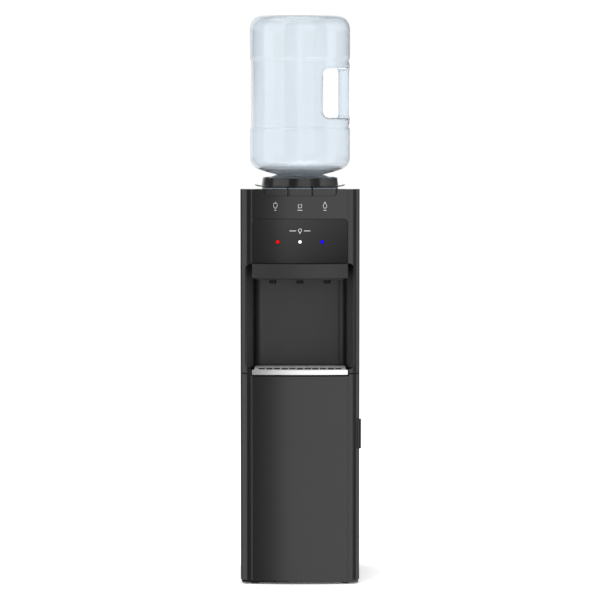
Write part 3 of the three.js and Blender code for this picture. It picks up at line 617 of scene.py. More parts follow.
# ------------------------------------------------------------------ upper fascia
UE = U_CORNER + 4.8
z0, z1 = 554.6, 1032.5
r_ = 1.0
fo = [(-UE, z0), (-127.0, z0), (-127.0, 565)]
fo += corner(-142.6 + 15, 565 + 15, 15, 270, 180)
fo += corner(-142.6 + 17, 839.9 - 17, 17, 180, 90)
fo += [(-124.2, 839.9)] + corner(-124.2 + 13, 955.7 - 13, 13, 180, 90) + corner(124.2 - 13, 955.7 - 13, 13, 90, 0) + [(124.2, 839.9)]
fo += corner(142.6 - 17, 839.9 - 17, 17, 90, 0) + corner(142.6 - 15, 565 + 15, 15, 0, -90)
fo += [(127.0, 565), (127.0, z0), (UE, z0), (UE, z1), (94.8, z1)]
fo += corner(94.8 - 8, 1015.3 + 8, 8, 0, -90) + corner(-94.8 + 8, 1015.3 + 8, 8, -90, -180) + [(-94.8, z1), (-UE, z1)]
plate("fascia_front", fo, [], bowed(), 3.0, "cabinet", "fascia_plastic", f=1.1, cols=COLS, repl=("upper_fascia",))


def bow_plan(t, yb, x_lo=-HW, x_hi=HW, n=64):
    """The front outline set back by t; the argument yb is not used."""
    out = []
    lim = HW - t
    for k in range(n + 1):
        a = -1 + 2 * k / n
        x = lim * math.copysign(abs(a) ** 0.75, a) if n > 20 else lim * a
        x = max(min(x, x_hi), x_lo)
        out.append((x, frontY(x / lim * HW if abs(x) > PH else x) + t))
    out = [p for i, p in enumerate(out) if i == 0 or p != out[i - 1]]
    return out


# the parapet's roof, left and right of the button bay, and behind it
def roof(name, xa, xb):
    xs = np.linspace(xa, xb, 40)
    p = [(x, frontY(x) + 2.7) for x in xs if abs(x) <= HW - 2.7]
    xe = HW - 0.4 if xb > 0 else -HW + 0.4
    if xb > 0:
        p += [(xe - 2.4, 24.5), (xe, 30), (xe, 43.6), (95.1, 43.6)]
    else:
        p = [(-95.1, 43.6), (xe, 43.6), (xe, 30), (xe + 2.4, 24.5)] + p
    return prism(name, p, 1020.6, 1032.4, "cabinet", "fascia_plastic", bevel=0.9)


roof("fascia_roof_left", -HW + 2.75, -95.1)
roof("fascia_roof_right", 95.1, HW - 2.75)
box("fascia_roof_rear", -96, 96, 38.4, 43.6, 1020.6, 1032.4, "cabinet", "fascia_plastic", bevel=0.9)
# painted shade: the bay floor behind the buttons is near-black
box("button_bay_floor", -94.6, 94.6, 12.5, 14.0, 1000.5, 1015.0, "cabinet", None, bevel=0.2, mat=DARK)

# ------------------------------------------------------------------ display panel, lamps, printed marks
dp = [(-123.9, 840.2), (123.9, 840.2)] + corner(123.9 - 13, 955.4 - 13, 13, 0, 90) + corner(-123.9 + 13, 955.4 - 13, 13, 90, 180)
lamps = [[(x + 5 * math.cos(t), 895.9 + 5 * math.sin(t)) for t in np.linspace(0, 2 * math.pi, 41)[:-1]] for x in LX]
plate("display_panel_gloss", dp, lamps, bowed(0.5, 0.0), 2.6, "cabinet", "display_gloss", f=0.7, cols=FCOLS, step=2.5, repl=("display_panel",))
for tap, x, s in zip(TAPS, LX, ("lamp_red", "lamp_white", "lamp_blue")):
    y = frontY(x)
    turn(f"lamp_{tap}", [(0, 0.35), (1.8, 0.42), (3.2, 0.8), (4.0, 1.6), (4.15, 3.9), (4.15, 6.0), (0, 6.0)], x, y, "cabinet", s, n=48, r=0.3, axis="y", cz=895.9, repl=(f"led_{tap}",))
    turn(f"lamp_bezel_{tap}", [(4.3, 3.4), (6.2, 3.4), (6.2, 5.9), (4.3, 5.9)], x, y, "cabinet", None, n=48, r=0.2, axis="y", cz=895.9, mat=DARK)


def ribbon(poly, w, closed):
    p = np.array(poly, float)
    if closed:
        if area2(p) < 0:
            p = p[::-1].copy()
        return offs(p, w / 2)[0], offs(p, -w / 2)[0]
    e = np.diff(p, axis=0)
    e /= np.linalg.norm(e, axis=1)[:, None]
    n = np.stack([-e[:, 1], e[:, 0]], 1)
    nn = np.concatenate([n[:1], (n[:-1] + n[1:]) / (1 + np.sum(n[:-1] * n[1:], 1))[:, None], n[-1:]])
    return p + nn * w / 2, p - nn * w / 2


def printed(name, lines, front, slot="fascia_plastic"):
    """Thin printed marks that follow the bowed front: lines of (points, width, closed)."""
    pos = bowed(front, 0.0)
    V, F = [], []
    for poly, w, closed in lines:
        a, b = ribbon(poly, w, closed)
        n, s = len(a), len(V)
        for d in (0.0, 0.12):
            for q in (a, b):
                V += [tuple(v) for v in pos(q[:, 0], q[:, 1], np.full(n, d))]
        A, B, C, D = s, s + n, s + 2 * n, s + 3 * n
        for i in range(n if closed else n - 1):
            j = (i + 1) % n
            F += [(A + i, B + i, B + j, A + j), (C + i, C + j, D + j, D + i), (A + i, A + j, C + j, C + i), (B + i, D + i, D + j, B + j)]
        if not closed:
            F += [(A, C, D, B), (A + n - 1, B + n - 1, D + n - 1, C + n - 1)]
    V = np.array(V)
    if volume(V - V.mean(0), F) < 0:
        F = [f_[::-1] for f_ in F]
    me = bpy.data.meshes.new(name)
    me.from_pydata([tuple(v) for v in W(V)], [], F)
    return put(name, me, "cabinet", None, INK)


def ring_pts(cx, cz, r, n=20):
    return [(cx + r * math.cos(2 * math.pi * k / n), cz + r * math.sin(2 * math.pi * k / n)) for k in range(n)]


marks = []
for i, cx in enumerate((-63.8, 0.0, 64.6)):
    if i == 0:
        marks.append((soften([(cx - 2.2, 983.4), (cx + 2.2, 983.4), (cx + 4.6, 989), (cx + 4.6, 995.8), (cx - 4.6, 995.8), (cx - 4.6, 989)], 1.6, 3), 0.66, True))
        marks.append(([(cx - 1.6, 998.6), (cx + 1.6, 998.6)], 0.8, False))
    elif i == 1:
        marks.append((soften([(cx - 3.0, 984.2), (cx + 3.0, 984.2), (cx + 4.4, 987.6), (cx + 4.4, 994.2)], 1.2, 3, False)[::-1] + soften([(cx + 3.0, 984.2), (cx - 3.0, 984.2), (cx - 4.4, 987.6), (cx - 4.4, 994.2)], 1.2, 3, False)[2:], 0.8, False))
        marks.append(([(cx - 1.8, 992.4), (cx + 1.8, 992.4)], 0.8, False))
    else:
        marks.append((soften([(cx - 2.4, 983.4), (cx + 2.4, 983.4), (cx + 4.6, 988), (cx + 4.2, 992.6), (cx + 1.6, 995.4), (cx + 1.6, 998.8), (cx - 1.6, 998.8), (cx - 1.6, 995.4), (cx - 4.2, 992.6), (cx - 4.6, 988)], 1.0, 3), 0.8, True))
    h = (2.6, 6.4, 3.8)[i]
    marks.append(([(cx - h, 978.2), (cx + h, 978.2)], 1.0, False))
printed("printed_icons", marks, -0.06)
drop = [(4.6 * math.sin(t) * (0.55 - 0.45 * math.cos(t)), 923.8 - 6.2 * math.cos(t)) for t in np.linspace(0, 2 * math.pi, 33)[:-1]]
drop = [(x * 1.25, z) for x, z in drop]
printed("printed_emblem", [(drop, 1.0, True), ([(-27, 924.6), (-10, 924.6)], 1.3, False), ([(10, 924.6), (27, 924.6)], 1.3, False)], 0.42)

# ------------------------------------------------------------------ buttons
for tap, cx in zip(TAPS, BX):
    xs = np.linspace(cx - 31, cx + 31, 13)
    plan = [(x, frontY(x) + 3.5) for x in xs] + [(cx + 31, 36.5), (cx - 31, 36.5)]
    o = prism(f"button_cap_{tap}", soften(plan, 3.2, 4), 1011.2, 1033.2, f"button_{tap}", "button_plastic", bevel=1.0, repl=(f"button_{tap}",))
    for v in o.data.vertices:  # the cap's top rises towards the back
        v.co.z += (v.co.y - Y0 - 0.005) * 2.4 / 31.5
    # painted reflection on the cap's top face
    top_reflection_outline = [(x, frontY(x) + 5.0) for x in np.linspace(cx - 29.4, cx + 29.4, 13)] + [(cx + 29.4, 24.5), (cx - 29.4, 24.5)]
    plate(f"button_top_reflection_{tap}", soften(top_reflection_outline, 2.4, 4), [], top_z(1033.45, 2.4 / 31.5, 5.0), 0.7, f"button_{tap}", None, f=0.2, K=2, step=3.0, mat=TOP_REFLECTION)
    turn(f"button_stem_{tap}", [(0, 996.2), (4, 996.2), (4, 1012), (0, 1012)], cx, 24, f"button_{tap}", "button_plastic", n=40, r=0.5)

# ------------------------------------------------------------------ spout cover and nozzles


def head_plan(t, yb, n=48):
    xs = np.linspace(-PH + t, PH - t, n)
    return [(x, -16 + 18 * (x / PH) ** 2 + t) for x in xs] + [(PH - t, yb), (-PH + t, yb)]


prism("spout_cover_body", head_plan(0, 62), 801.8, 839.6, "cabinet", "fascia_plastic", bevel=1.5, seg=4, repl=("spout_cover",), mat=SPOUT)
# painted shade: the step under the spout cover is near-black
prism("spout_cover_base", head_plan(8, 58), 799.0, 803.5, "cabinet", None, bevel=0.5, mat=DARK)
prism("spout_cover_lip", head_plan(13, 53), 797.2, 799.6, "cabinet", None, bevel=0.5, mat=SPOUT)
for tap, x in zip(TAPS, NX_):
    turn(f"nozzle_spout_{tap}", [(3.6, 786.3), (7.6, 786.3), (9, 788), (9, 806), (6.4, 810), (6.4, 852), (3.6, 852)], x, 26, "cabinet", "nozzle_plastic", n=64, r=0.5, repl=(f"nozzle_{tap}",))

# ------------------------------------------------------------------ alcove liner


def liner_half(t, y0=13.9):
    p = [(139.8 + t, y0)]
    p += [(139.8 + t - (16.8) * k / 8, y0 + (99 - y0) * k / 8) for k in range(1, 8)]
    p += [(98 + (25 + t) * math.cos(math.radians(a)), 99 + (25 + t) * math.sin(math.radians(a))) for a in range(0, 91, 6)]
    return p


def mirr(p):
    return [(-x, y) for x, y in p][::-1]


ring = liner_half(2.5) + mirr(liner_half(2.5)) + mirr(liner_half(0))[::-1] + liner_half(0)[::-1]
full = liner_half(2.5) + mirr(liner_half(2.5))
prism("alcove_wall", ring, 552.1, 842.9, "cabinet", "liner_plastic", bevel=0.4, seg=2, repl=("alcove_liner",), mat=ALCOVE)


def liner_low(t):  # the wall's foot starts behind the door's hinge side
    return [(x, y) for x, y in liner_half(t) if y > 36] if t else [(x, y) for x, y in liner_half(0.3) if y > 36]


low_ring = liner_low(2.2) + mirr(liner_low(2.2)) + mirr(liner_low(0))[::-1] + liner_low(0)[::-1]
prism("alcove_wall_foot", low_ring, 545.3, 552.6, "cabinet", "liner_plastic", bevel=0, mat=ALCOVE)
floor_plan = [(x, max(y, 33.2)) for x, y in liner_half(0.6) + mirr(liner_half(0.6))]
prism("alcove_floor", floor_plan, 545.3, 548.2, "cabinet", "liner_plastic", bevel=0)
roof_plan = [(x, max(y, 17.0)) for x, y in liner_half(0.6) + mirr(liner_half(0.6))]
holes = [[(x + 7 * math.cos(t), 26 + 7 * math.sin(t)) for t in np.linspace(0, 2 * math.pi, 33)[:-1]] for x in NX_]
plate("alcove_ceiling", roof_plan, holes, lambda u, v, d: np.stack([u, v, 840.2 + d], 1), 2.6, "cabinet", "liner_plastic", f=0.3, K=2, step=6.0)

# ------------------------------------------------------------------ drip tray, grille, trim


def tray_plan(t, n=40):
    w = 119.5 - t
    p = [(x, frontY(x) - 1 + t) for x in np.linspace(-w, w, n)]
    p += [(96.5 + (23 - t) * math.cos(math.radians(a)), 97 + (23 - t) * math.sin(math.radians(a))) for a in range(0, 91, 9)]
    p += [(-96.5 + (23 - t) * math.cos(math.radians(a)), 97 + (23 - t) * math.sin(math.radians(a))) for a in range(90, 181, 9)]
    return p


plate("drip_tray_rim", tray_plan(0), [tray_plan(2.2)], top_z(561.0), 11.3, "drip_tray", "liner_plastic", f=0.5, K=3, step=5.0, repl=("drip_tray",))
# painted shade: the tray floor is near-black, seen through the grille's slots
prism("drip_tray_floor", tray_plan(1.2), 549.7, 551.8, "drip_tray", "liner_plastic", bevel=0.6, mat=DARK)
slots_ = []
for i in range(-5, 6):
    slots_.append(rrect(i * 20 - 8.3, i * 20 + 8.3, 13 if i % 2 else 9, 56, 2.6, 4))
    if abs(i) <= 4:
        slots_.append(rrect(i * 20 - 4, i * 20 + 4, 74, 96 if i % 2 else 92, 2.0, 4))
plate("drip_grille_plate", [(x, min(y, 113.5)) for x, y in tray_plan(0.25)], slots_, top_z(563.7), 0.9, "drip_grille", "grille_steel", f=0.35, K=3, step=4.0, repl=("drip_grille",))
plate("drip_trim_bar", rrect(-124.2, 124.2, 550.3, 563.5, 1.6, 4), [], bowed(-3.95, 0.0), 1.5, "drip_tray", "trim_metal", f=0.8, cols=FCOLS, repl=("drip_tray_trim",))
plate("drip_trim_back", rrect(-117.5, 117.5, 552.2, 560.8, 1.0, 3), [], bowed(-2.75, 0.0), 1.3, "drip_tray", "trim_metal", f=0.3, K=2, cols=FCOLS)

# ------------------------------------------------------------------ door
UD = U_CORNER + 1.6
do = [(-UD, 10.6), (UD, 10.6), (UD, 551.5), (126.6, 551.5), (126.6, 546.5), (-126.6, 546.5), (-126.6, 551.5), (-UD, 551.5)]
plate("door_skin", do, [], bowed(), 3.0, "door", "door_plastic", f=1.1, cols=COLS, repl=("door_panel",))
# painted shadow: a near-black strip behind the seam between door and fascia stands in for the gap's shade
for s, n_ in ((-1, "left"), (1, "right")):
    u0, u1 = sorted((s * 127.4, s * (U_CORNER + 3.5)))
    plate(f"seam_shadow_strip_{n_}", [(u0, 551.9), (u1, 551.9), (u1, 558.5), (u0, 558.5)], [], bowed(3.4, 0.0), 0.8, "cabinet", None, f=0.1, K=1, mat=DARK, cols=COLS)
edge = [(x, frontY(x) + 3.2) for x in np.linspace(-151, 151, 60)]
prism("door_top_web", [(-151.0, 27.8)] + edge + [(151.0, 27.8)], 543.9, 546.5, "door", "door_plastic", bevel=0.4)
prism("door_bottom_web", [(-151.0, 27.8)] + edge + [(151.0, 27.8)], 10.8, 13.4, "door", "door_plastic", bevel=0.4)
for s, n_ in ((-1, "left"), (1, "right")):
    box(f"door_edge_{n_}", min(s * 151.4, s * 154.9), max(s * 151.4, s * 154.9), 26.2, 27.9, 11.0, 551.2, "door", "door_plastic", bevel=0.3)
    turn(f"door_boss_{n_}", [(2.9, 532.8), (6, 532.8), (6, 551.2), (2.9, 551.2)] if s < 0 else [(2.9, 10.8), (6, 10.8), (6, 26.4), (2.9, 26.4)], -146, 21, "door", "door_plastic", n=48, r=0.4)
grip = soften([(146.8, 13.2), (152, 12.6), (157.2, 14.8), (159.4, 18.2), (159.4, 27.4), (156.9, 27.4), (156.9, 22.2), (155.4, 21.4), (155.4, 17)], 1.2, 3)
prism("door_grip_pull", grip, 356.2, 433.8, "door", "door_plastic", bevel=1.2, seg=4, repl=("door_grip",))

# ------------------------------------------------------------------ bottle seat, support ring, probe
turn("seat_dish", [(46, 990), (10, 990), (10, 987.1), (49, 987.1), (49, 1031), (97.5, 1031), (98, 1020.5), (101, 1020.5), (101, 1034.2), (104.9, 1034.5), (104.9, 1037.3), (101.5, 1037.6), (98.6, 1058.1), (95, 1058.1), (97, 1034.4), (46, 1034.4)], 0, AXIS_Y, "cabinet", "seat_plastic", n=128, r=1.0, repl=("bottle_seat",))
for s, n_ in ((-1, "left"), (1, "right")):
    ear = [(101, 1034.4), (106, 1034.6), (112, 1035.8), (118.3, 1038.3), (118.3, 1040.5), (112, 1038.7), (106, 1037.4), (101, 1037.3)]
    prism(f"seat_ear_{n_}", [(s * x, z) for x, z in ear], AXIS_Y - 29.8, AXIS_Y + 29.8, "cabinet", "seat_plastic", axis="y", bevel=0.7)
turn("support_cone", [(92, 1034.9), (92, 1053), (82, 1057.9), (62.4, 1064.8), (59.6, 1064), (50, 1034.9), (54, 1034.9), (63, 1060.6), (88, 1050.6), (88, 1034.9)], 0, AXIS_Y, "cabinet", "support_plastic", n=128, r=1.4, repl=("bottle_support_ring",))
turn("probe_post", [(5.5, 990.4), (16, 990.4), (16, 993.5), (8.5, 994), (8.5, 1034), (3.5, 1043.9), (0.001, 1043.9), (0.001, 1037), (5.5, 1032)], 0, AXIS_Y, "cabinet", "probe_plastic", n=64, r=0.8, repl=("feed_probe",))
turn("cap_skirt", [(10, 996.1), (31, 996.1), (31.9, 998), (31, 1022), (28, 1022), (28, 1000.2), (24, 999.6), (10, 999.6)], 0, AXIS_Y, "bottle", "cap_blue", n=96, r=0.6, repl=("bottle_cap",))

# ------------------------------------------------------------------ bottle: a signed distance field, meshed and projected onto its surface
prof = np.array([[0, 1000.5], [27.5, 1000.5], [27.5, 1052], [61.8, 1065.9], [84, 1070.8], [98, 1074.4], [109, 1078.2], [118, 1083.0], [125, 1089.2], [129.6, 1096.6], [131.8, 1104.5], [132.3, 1112],
                 [132.3, 1184], [131.6, 1187.0], [129.6, 1189.6], [129.4, 1193], [129.4, 1364], [129.6, 1367.4], [131.6, 1370], [132.3, 1373]] +
                [[103.3 + 29 * math.cos(math.radians(a)), 1446.3 + 36 * math.sin(math.radians(a))] for a in range(0, 91, 9)] + [[88, 1481.8], [0, 1474]])
H2 = 0.75
RR, ZZ = np.arange(-6, 150, H2), np.arange(990, 1494, H2)
gr, gz = np.meshgrid(RR, ZZ, indexing="ij")
D2 = np.full(gr.shape, 1e9)
ins = np.zeros(gr.shape, bool)
loop2 = np.concatenate([prof, prof[::-1] * [-1, 1]])
for (ax, az), (bx, bz) in zip(loop2, np.roll(loop2, -1, 0)):
    ex, ez = bx - ax, bz - az
    L2 = ex * ex + ez * ez
    if L2 < 1e-9:
        continue
    t = np.clip(((gr - ax) * ex + (gz - az) * ez) / L2, 0, 1)
    if not (abs(ax) < 1e-6 and abs(bx) < 1e-6):
        D2 = np.minimum(D2, np.hypot(gr - ax - t * ex, gz - az - t * ez))
    if abs(ez) > 1e-12:
        ins ^= ((az > gz) != (bz > gz)) & (gr < ex * (gz - az) / ez + ax)
D2 = np.where(ins, -D2, D2)
for _ in range(5):  # soft rounding of the ridges
    D2[1:-1, 1:-1] = (D2[1:-1, 1:-1] * 2 + D2[:-2, 1:-1] + D2[2:, 1:-1] + D2[1:-1, :-2] + D2[1:-1, 2:]) / 6


def body_sdf(x, y, z):
    r = np.hypot(x, y)
    fi = np.clip((r - RR[0]) / H2, 0, len(RR) - 2.001)
    fj = np.clip((z - ZZ[0]) / H2, 0, len(ZZ) - 2.001)
    i, j = fi.astype(int), fj.astype(int)
    a, b = fi - i, fj - j
    return (D2[i, j] * (1 - a) + D2[i + 1, j] * a) * (1 - b) + (D2[i, j + 1] * (1 - a) + D2[i + 1, j + 1] * a) * b


def smin(a, b, k):
    h = np.clip(0.5 + 0.5 * (b - a) / k, 0, 1)
    return b * (1 - h) + a * h - k * h * (1 - h)


def rect_sd(px, py, cx, cy, hx, hy, r):
    qx, qy = np.abs(px - cx) - hx + r, np.abs(py - cy) - hy + r
    return np.minimum(np.maximum(qx, qy), 0) + np.hypot(np.maximum(qx, 0), np.maximum(qy, 0)) - r


def bottle_sdf(x, y, z):
    b = body_sdf(x, y, z)
    pocket = rect_sd(x, z, 160, 1279.35, 100, 63.75, 16)
    o = -smin(-b, pocket, 5.0)
    bar = np.maximum(rect_sd(x, y, 115.2, 0, 13.9, 18.8, 10), np.abs(z - 1279.5) - 76)
    return np.maximum(smin(o, bar, 7.0), x - 132.3)


def nets(fn, lo, hi, h):
    ax = [np.arange(lo[i], hi[i] + h, h) for i in range(3)]
    F3 = np.empty([len(a) for a in ax], np.float32)
    for k in range(len(ax[2])):
        gx, gy = np.meshgrid(ax[0], ax[1], indexing="ij")
        F3[:, :, k] = fn(gx, gy, np.full(gx.shape, ax[2][k]))
    S = F3 < 0
    nx, ny, nz = F3.shape
    cnt = np.zeros((nx - 1, ny - 1, nz - 1), np.int8)
    for a in (0, 1):
        for b in (0, 1):
            for c in (0, 1):
                cnt += S[a:nx - 1 + a, b:ny - 1 + b, c:nz - 1 + c]
    act = (cnt > 0) & (cnt < 8)
    I = np.argwhere(act)
    num = np.full(act.shape, -1, np.int64)
    num[act] = np.arange(len(I))
    acc, k_ = np.zeros((len(I), 3)), np.zeros(len(I))
    for d in range(3):
        o1, o2 = [q for q in range(3) if q != d]
        for p in (0, 1):
            for q in (0, 1):
                A = I.copy()
                A[:, o1] += p
                A[:, o2] += q
                B = A.copy()
                B[:, d] += 1
                fa, fb = F3[tuple(A.T)].astype(float), F3[tuple(B.T)].astype(float)
                m = (fa < 0) != (fb < 0)
                t = np.where(m, fa / np.where(fa - fb == 0, 1, fa - fb), 0)
                P = A.astype(float)
                P[:, d] += t
                acc[m] += P[m]
                k_[m] += 1
    P = acc / k_[:, None] * h + np.array([a[0] for a in ax])
    Q = []
    for d in range(3):
        o1, o2 = (d + 1) % 3, (d + 2) % 3
        sl0, sl1 = [slice(None)] * 3, [slice(None)] * 3
        sl0[d], sl1[d] = slice(0, -1), slice(1, None)
        ch = S[tuple(sl0)] != S[tuple(sl1)]
        C = np.argwhere(ch)
        C = C[(C[:, o1] > 0) & (C[:, o2] > 0) & (C[:, o1] < F3.shape[o1] - 1) & (C[:, o2] < F3.shape[o2] - 1)]
        neg = S[tuple(C.T)]

        def cell(da, db):
            G_ = C.copy()
            G_[:, o1] -= da
            G_[:, o2] -= db
            return num[tuple(G_.T)]
        q = np.stack([cell(0, 0), cell(1, 0), cell(1, 1), cell(0, 1)], 1)
        q[~neg] = q[~neg][:, ::-1]
        Q.append(q)
    return P, np.concatenate(Q)


def grad(fn, P, e=0.35):
    g = np.stack([fn(P[:, 0] + (e if i == 0 else 0), P[:, 1] + (e if i == 1 else 0), P[:, 2] + (e if i == 2 else 0)) -
                  fn(P[:, 0] - (e if i == 0 else 0), P[:, 1] - (e if i == 1 else 0), P[:, 2] - (e if i == 2 else 0)) for i in range(3)], 1) / (2 * e)
    return g


BV, BF, BN = [], [], []
for level, flip in ((0.0, False), (1.3, True)):
    fn = (lambda x, y, z, lv=level: bottle_sdf(x, y, z) + lv)
    P, Q = nets(fn, (-140, -140, 995), (140, 140, 1490), 3.2)
    for _ in range(3):
        g = grad(fn, P)
        m = np.maximum(0.3, np.sum(g * g, 1))
        P = P - g * (fn(P[:, 0], P[:, 1], P[:, 2]) / m)[:, None]
    g = grad(fn, P, 0.8)
    g /= np.maximum(1e-9, np.linalg.norm(g, axis=1))[:, None]
    s = sum(len(v) for v in BV)
    BV.append(P)
    BN.append(-g if flip else g)
    BF.append((Q[:, ::-1] if flip else Q) + s)
BV, BF, BN = np.concatenate(BV), np.concatenate(BF), np.concatenate(BN)
BV[:, 1] += AXIS_Y
v0 = BV[BF[:, 1]] - BV[BF[:, 0]]
fnrm = np.cross(v0, BV[BF[:, 2]] - BV[BF[:, 0]])
if np.sum(fnrm * BN[BF[:, 0]]) < 0:
    BF = BF[:, ::-1]
me = bpy.data.meshes.new("bottle_shell")
me.from_pydata([tuple(v) for v in W(BV)], [], [tuple(int(i) for i in q) for q in BF])
me.shade_smooth()
me.normals_split_custom_set_from_vertices([tuple(n) for n in BN])
put("bottle_shell", me, "bottle", "bottle_clear", repl=("bottle",))

# ------------------------------------------------------------------ base, feet, back
for n_, x, y in (("front_left", -118, 28), ("front_right", 118, 28), ("rear_left", -118, 304), ("rear_right", 118, 304)):
    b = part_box(f"foot_{n_}")
    zt = b[1].z * 1000
    turn(f"foot_pad_{n_}", [(0, 0.0), (10.6, 0.0), (12, 1.4), (12, zt - 0.1), (0, zt - 0.1)], x, y, "cabinet", "foot_rubber", n=48, r=0.4, repl=(f"foot_{n_}",))
for k, (x, z) in enumerate([(-146, 40), (146, 40), (-146, 360), (146, 360), (-146, 700), (146, 700), (-146, 1000), (146, 1000), (0, 1002), (0, 26)]):
    turn(f"back_screw_{k}", [(0, 326.5), (4.2, 326.5), (4.2, 327.6), (2.6, 328.9), (0, 329.2)], x, 0, "cabinet", "stainless", n=28, r=0.3, axis="y", cz=z)
for k, x in enumerate((-117, -110, -103)):
    box(f"inlet_pin_{k}", x - 1.1, x + 1.1, 311, 323, 947.6 + (2.5 if k == 1 else 0), 952.4 + (2.5 if k == 1 else 0), "cabinet", "stainless", bevel=0.3)


def wire(name, pts, r, body, slot, n=12, repl=(), cyc=False):
    cu = bpy.data.curves.new(name, "CURVE")
    cu.dimensions = "3D"
    cu.bevel_depth = r / 1000
    cu.bevel_resolution = 4
    cu.use_fill_caps = True
    sp = cu.splines.new("POLY")
    P = W(pts)
    sp.points.add(len(P) - 1)
    for p, q in zip(sp.points, P):
        p.co = (*q, 1)
    sp.use_cyclic_u = cyc
    o = bpy.data.objects.new(name, cu)
    bpy.context.scene.collection.objects.link(o)
    dg = bpy.context.evaluated_depsgraph_get()
    me = bpy.data.meshes.new_from_object(o.evaluated_get(dg))
    bpy.data.objects.remove(o)
    me.name = name
    me.shade_smooth()
    return put(name, me, body, slot, repl=repl)


run, XC = [], 110
for i in range(10):
    z, s = 262 + i * 48, (-1 if i % 2 else 1)
    run += [(-s * (XC + 4), 337, z), (s * (XC + 4), 337, z)]
    if i < 9:
        run += [(s * (XC + 4 + 10 * math.sin(math.pi * k / 10)), 337, z + 24 - 24 * math.cos(math.pi * k / 10)) for k in range(1, 10)]
wire("condenser_tube", run, 2.5, "cabinet", "black_enamel", repl=("condenser",))
for s, n_ in ((-1, "left"), (1, "right")):
    box(f"condenser_bracket_{n_}", s * 92 - 6, s * 92 + 6, 326.9, 334.6, 250, 706, "cabinet", "black_enamel", bevel=0.6)
for k in range(15):
    x = -77 + k * 11
    wire(f"condenser_wire_{k}", [(x, 334.0, 256), (x, 334.0, 700)], 0.7, "cabinet", "black_enamel")
turn("drain_plug", [(6.8, 327.1), (11.4, 327.1), (11.4, 339.4), (9.8, 340.9), (0.001, 340.9), (0.001, 337.2), (6.8, 337.2)], 85, 0, "drain_cap", "black_nylon", n=64, r=0.5, axis="y", cz=215, repl=("drain_cap",))
for k in range(18):
    t = 2 * math.pi * k / 18
    # grip ribs lie within the cap's own outline
    box(f"drain_rib_{k}", 85 + 10.9 * math.cos(t) - 0.5, 85 + 10.9 * math.cos(t) + 0.5, 328.5, 338.5, 215 + 10.9 * math.sin(t) - 0.5, 215 + 10.9 * math.sin(t) + 0.5, "drain_cap", "black_nylon", bevel=0.2)

# ------------------------------------------------------------------ the CAD nodes that stay
slot_of = {s["node"]: s["material_slot"] for s in frame["record"]["subparts"]} if "subparts" in frame["record"] else {}
BEV = {"side_panel_left": 0.9, "side_panel_right": 0.9, "top_cover": 0.9, "base_pan": 0.8, "door_liner": 1.2, "storage_liner": 1.0, "power_inlet": 0.8,
       "switch_housing": 0.6, "switch_hot": 0.5, "switch_cold": 0.5, "back_panel": 0.25, "compressor_cradle": 0.5, "control_board": 0.2,
       "door_hinge_pin_upper": 0.3, "door_hinge_pin_lower": 0.3}
for n_, o in frame["nodes"].items():
    if o.hide_render:
        continue
    o.data.materials.clear()
    o.data.materials.append(M[slot_of.get(n_, "black_nylon")])
    if n_ in BEV:
        b = o.modifiers.new("edge", "BEVEL")
        b.width = BEV[n_] / 1000
        b.segments = 2
        b.limit_method = "ANGLE"
        b.angle_limit = math.radians(40)

# ------------------------------------------------------------------ floor, light, camera
sc = bpy.context.scene
me = bpy.data.meshes.new("studio_floor")
me.from_pydata([(-900, -900, 0), (900, -900, 0), (900, 900, 0), (-900, 900, 0)], [], [(0, 1, 2, 3)])
fl = bpy.data.objects.new("studio_floor", me)
sc.collection.objects.link(fl)
me.materials.append(pm("floor_paper", (0.93, 0.93, 0.93), 0.9, var=0.01, bump=0.02, fine=60, spec=0.0, emit=(1, 1, 1, 0.085)))
fl.visible_glossy = False
fl.location.z = -0.0002

w = bpy.data.worlds.new("studio")
sc.world = w
w.use_nodes = True
nt = w.node_tree
nt.nodes.clear()
tc = nt.nodes.new("ShaderNodeTexCoord")
sx = nt.nodes.new("ShaderNodeSeparateXYZ")
nt.links.new(tc.outputs["Generated"], sx.inputs[0])
neg = nt.nodes.new("ShaderNodeMath")
neg.operation = "MULTIPLY"
neg.inputs[1].default_value = -1
nt.links.new(sx.outputs["Y"], neg.inputs[0])
at = nt.nodes.new("ShaderNodeMath")
at.operation = "ARCTAN2"  # 0 towards the front, positive to the right
nt.links.new(sx.outputs["X"], at.inputs[0])
nt.links.new(neg.outputs[0], at.inputs[1])
mr = nt.nodes.new("ShaderNodeMapRange")
mr.inputs["From Min"].default_value = -math.pi
mr.inputs["From Max"].default_value = math.pi
nt.links.new(at.outputs[0], mr.inputs["Value"])
rp = nt.nodes.new("ShaderNodeValToRGB")
BR, DK = 1.42, 0.18
stops = [(-180, 1.04), (-148, 1.04), (-136, DK), (-95, DK), (-88, BR), (-38, BR), (-34, 0.10), (-20, 0.10), (-13.2, 0.17), (-10.6, 0.34), (-8, 0.53), (-6.3, 0.87), (-5.3, 1.07), (-4.4, 1.24), (-2.5, 1.36), (6, 1.40), (31, 1.46), (35, 0.50), (44, 0.36), (56, 0.2), (63, 0.3), (69, 1.5), (84, 1.4), (98, 0.95), (118, 0.5), (137, DK), (158, DK), (166, 1.04), (180, 1.04)]
cr = rp.color_ramp
SC = 2.0
while len(cr.elements) < len(stops):
    cr.elements.new(0.5)
for el, (a, v) in zip(cr.elements, stops):
    el.position = (a + 180) / 360
    el.color = (v / SC, v / SC, v / SC, 1)
nt.links.new(mr.outputs["Result"], rp.inputs["Fac"])
mu = nt.nodes.new("ShaderNodeMix")
mu.data_type = "RGBA"
mu.blend_type = "MULTIPLY"
mu.inputs["Factor"].default_value = 1.0
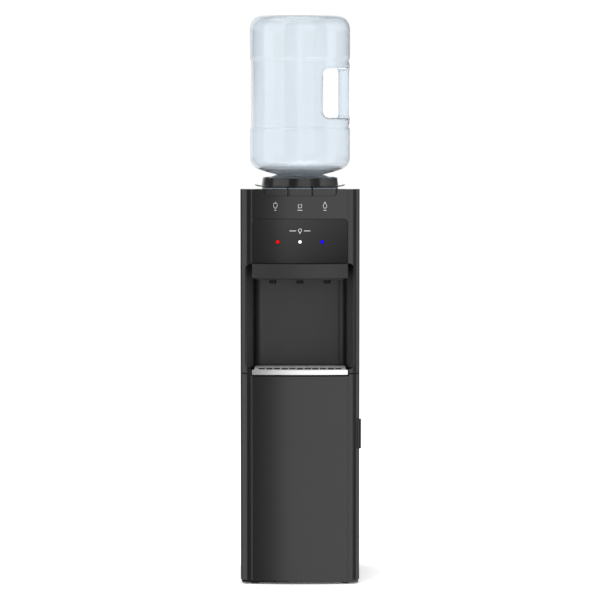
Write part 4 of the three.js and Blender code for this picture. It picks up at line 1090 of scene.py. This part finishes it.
mu.inputs["B"].default_value = (SC, SC, SC, 1)
nt.links.new(rp.outputs["Color"], mu.inputs["A"])
el = nt.nodes.new("ShaderNodeMapRange")  # the studio's ceiling is darker than its walls
el.interpolation_type = "SMOOTHSTEP"
for k_, v_ in (("From Min", 0.35), ("From Max", 0.8), ("To Min", 1.0), ("To Max", 0.22)):
    el.inputs[k_].default_value = v_
nt.links.new(sx.outputs["Z"], el.inputs["Value"])
mv = nt.nodes.new("ShaderNodeVectorMath")
mv.operation = "SCALE"
nt.links.new(mu.outputs["Result"], mv.inputs[0])
nt.links.new(el.outputs["Result"], mv.inputs["Scale"])
lp = nt.nodes.new("ShaderNodeLightPath")
mx = nt.nodes.new("ShaderNodeMix")
mx.data_type = "RGBA"
mx.inputs["A"].default_value = (1.02, 1.02, 1.02, 1)
nt.links.new(lp.outputs["Is Glossy Ray"], mx.inputs["Factor"])
nt.links.new(mv.outputs["Vector"], mx.inputs["B"])
bg = nt.nodes.new("ShaderNodeBackground")
nt.links.new(mx.outputs["Result"], bg.inputs["Color"])
wo = nt.nodes.new("ShaderNodeOutputWorld")
nt.links.new(bg.outputs[0], wo.inputs[0])
w.cycles.sampling_method = "NONE"

ld = bpy.data.lights.new("overhead", "AREA")
ld.shape = "RECTANGLE"
ld.size, ld.size_y, ld.energy = 5.0, 5.0, 260
lo_ = bpy.data.objects.new("overhead", ld)
lo_.location = (-0.6, -1.2, 5.2)
lo_.rotation_euler = (math.radians(12), math.radians(-7), 0)
lo_.visible_glossy = False
sc.collection.objects.link(lo_)

cam = bpy.data.cameras.new("camera")
cam.lens, cam.sensor_width = 174.03, 36
cam.clip_end = 3000
co = bpy.data.objects.new("camera", cam)
co.location = (X0, -7.6625, 1.2997)
co.rotation_euler = (math.radians(90 - 4.227), 0, 0)
sc.collection.objects.link(co)
sc.camera = co
sc.view_settings.view_transform = "Standard"
sc.cycles.max_bounces = 16
sc.cycles.transmission_bounces = 14
sc.cycles.transparent_max_bounces = 16
sc.cycles.use_denoising = True
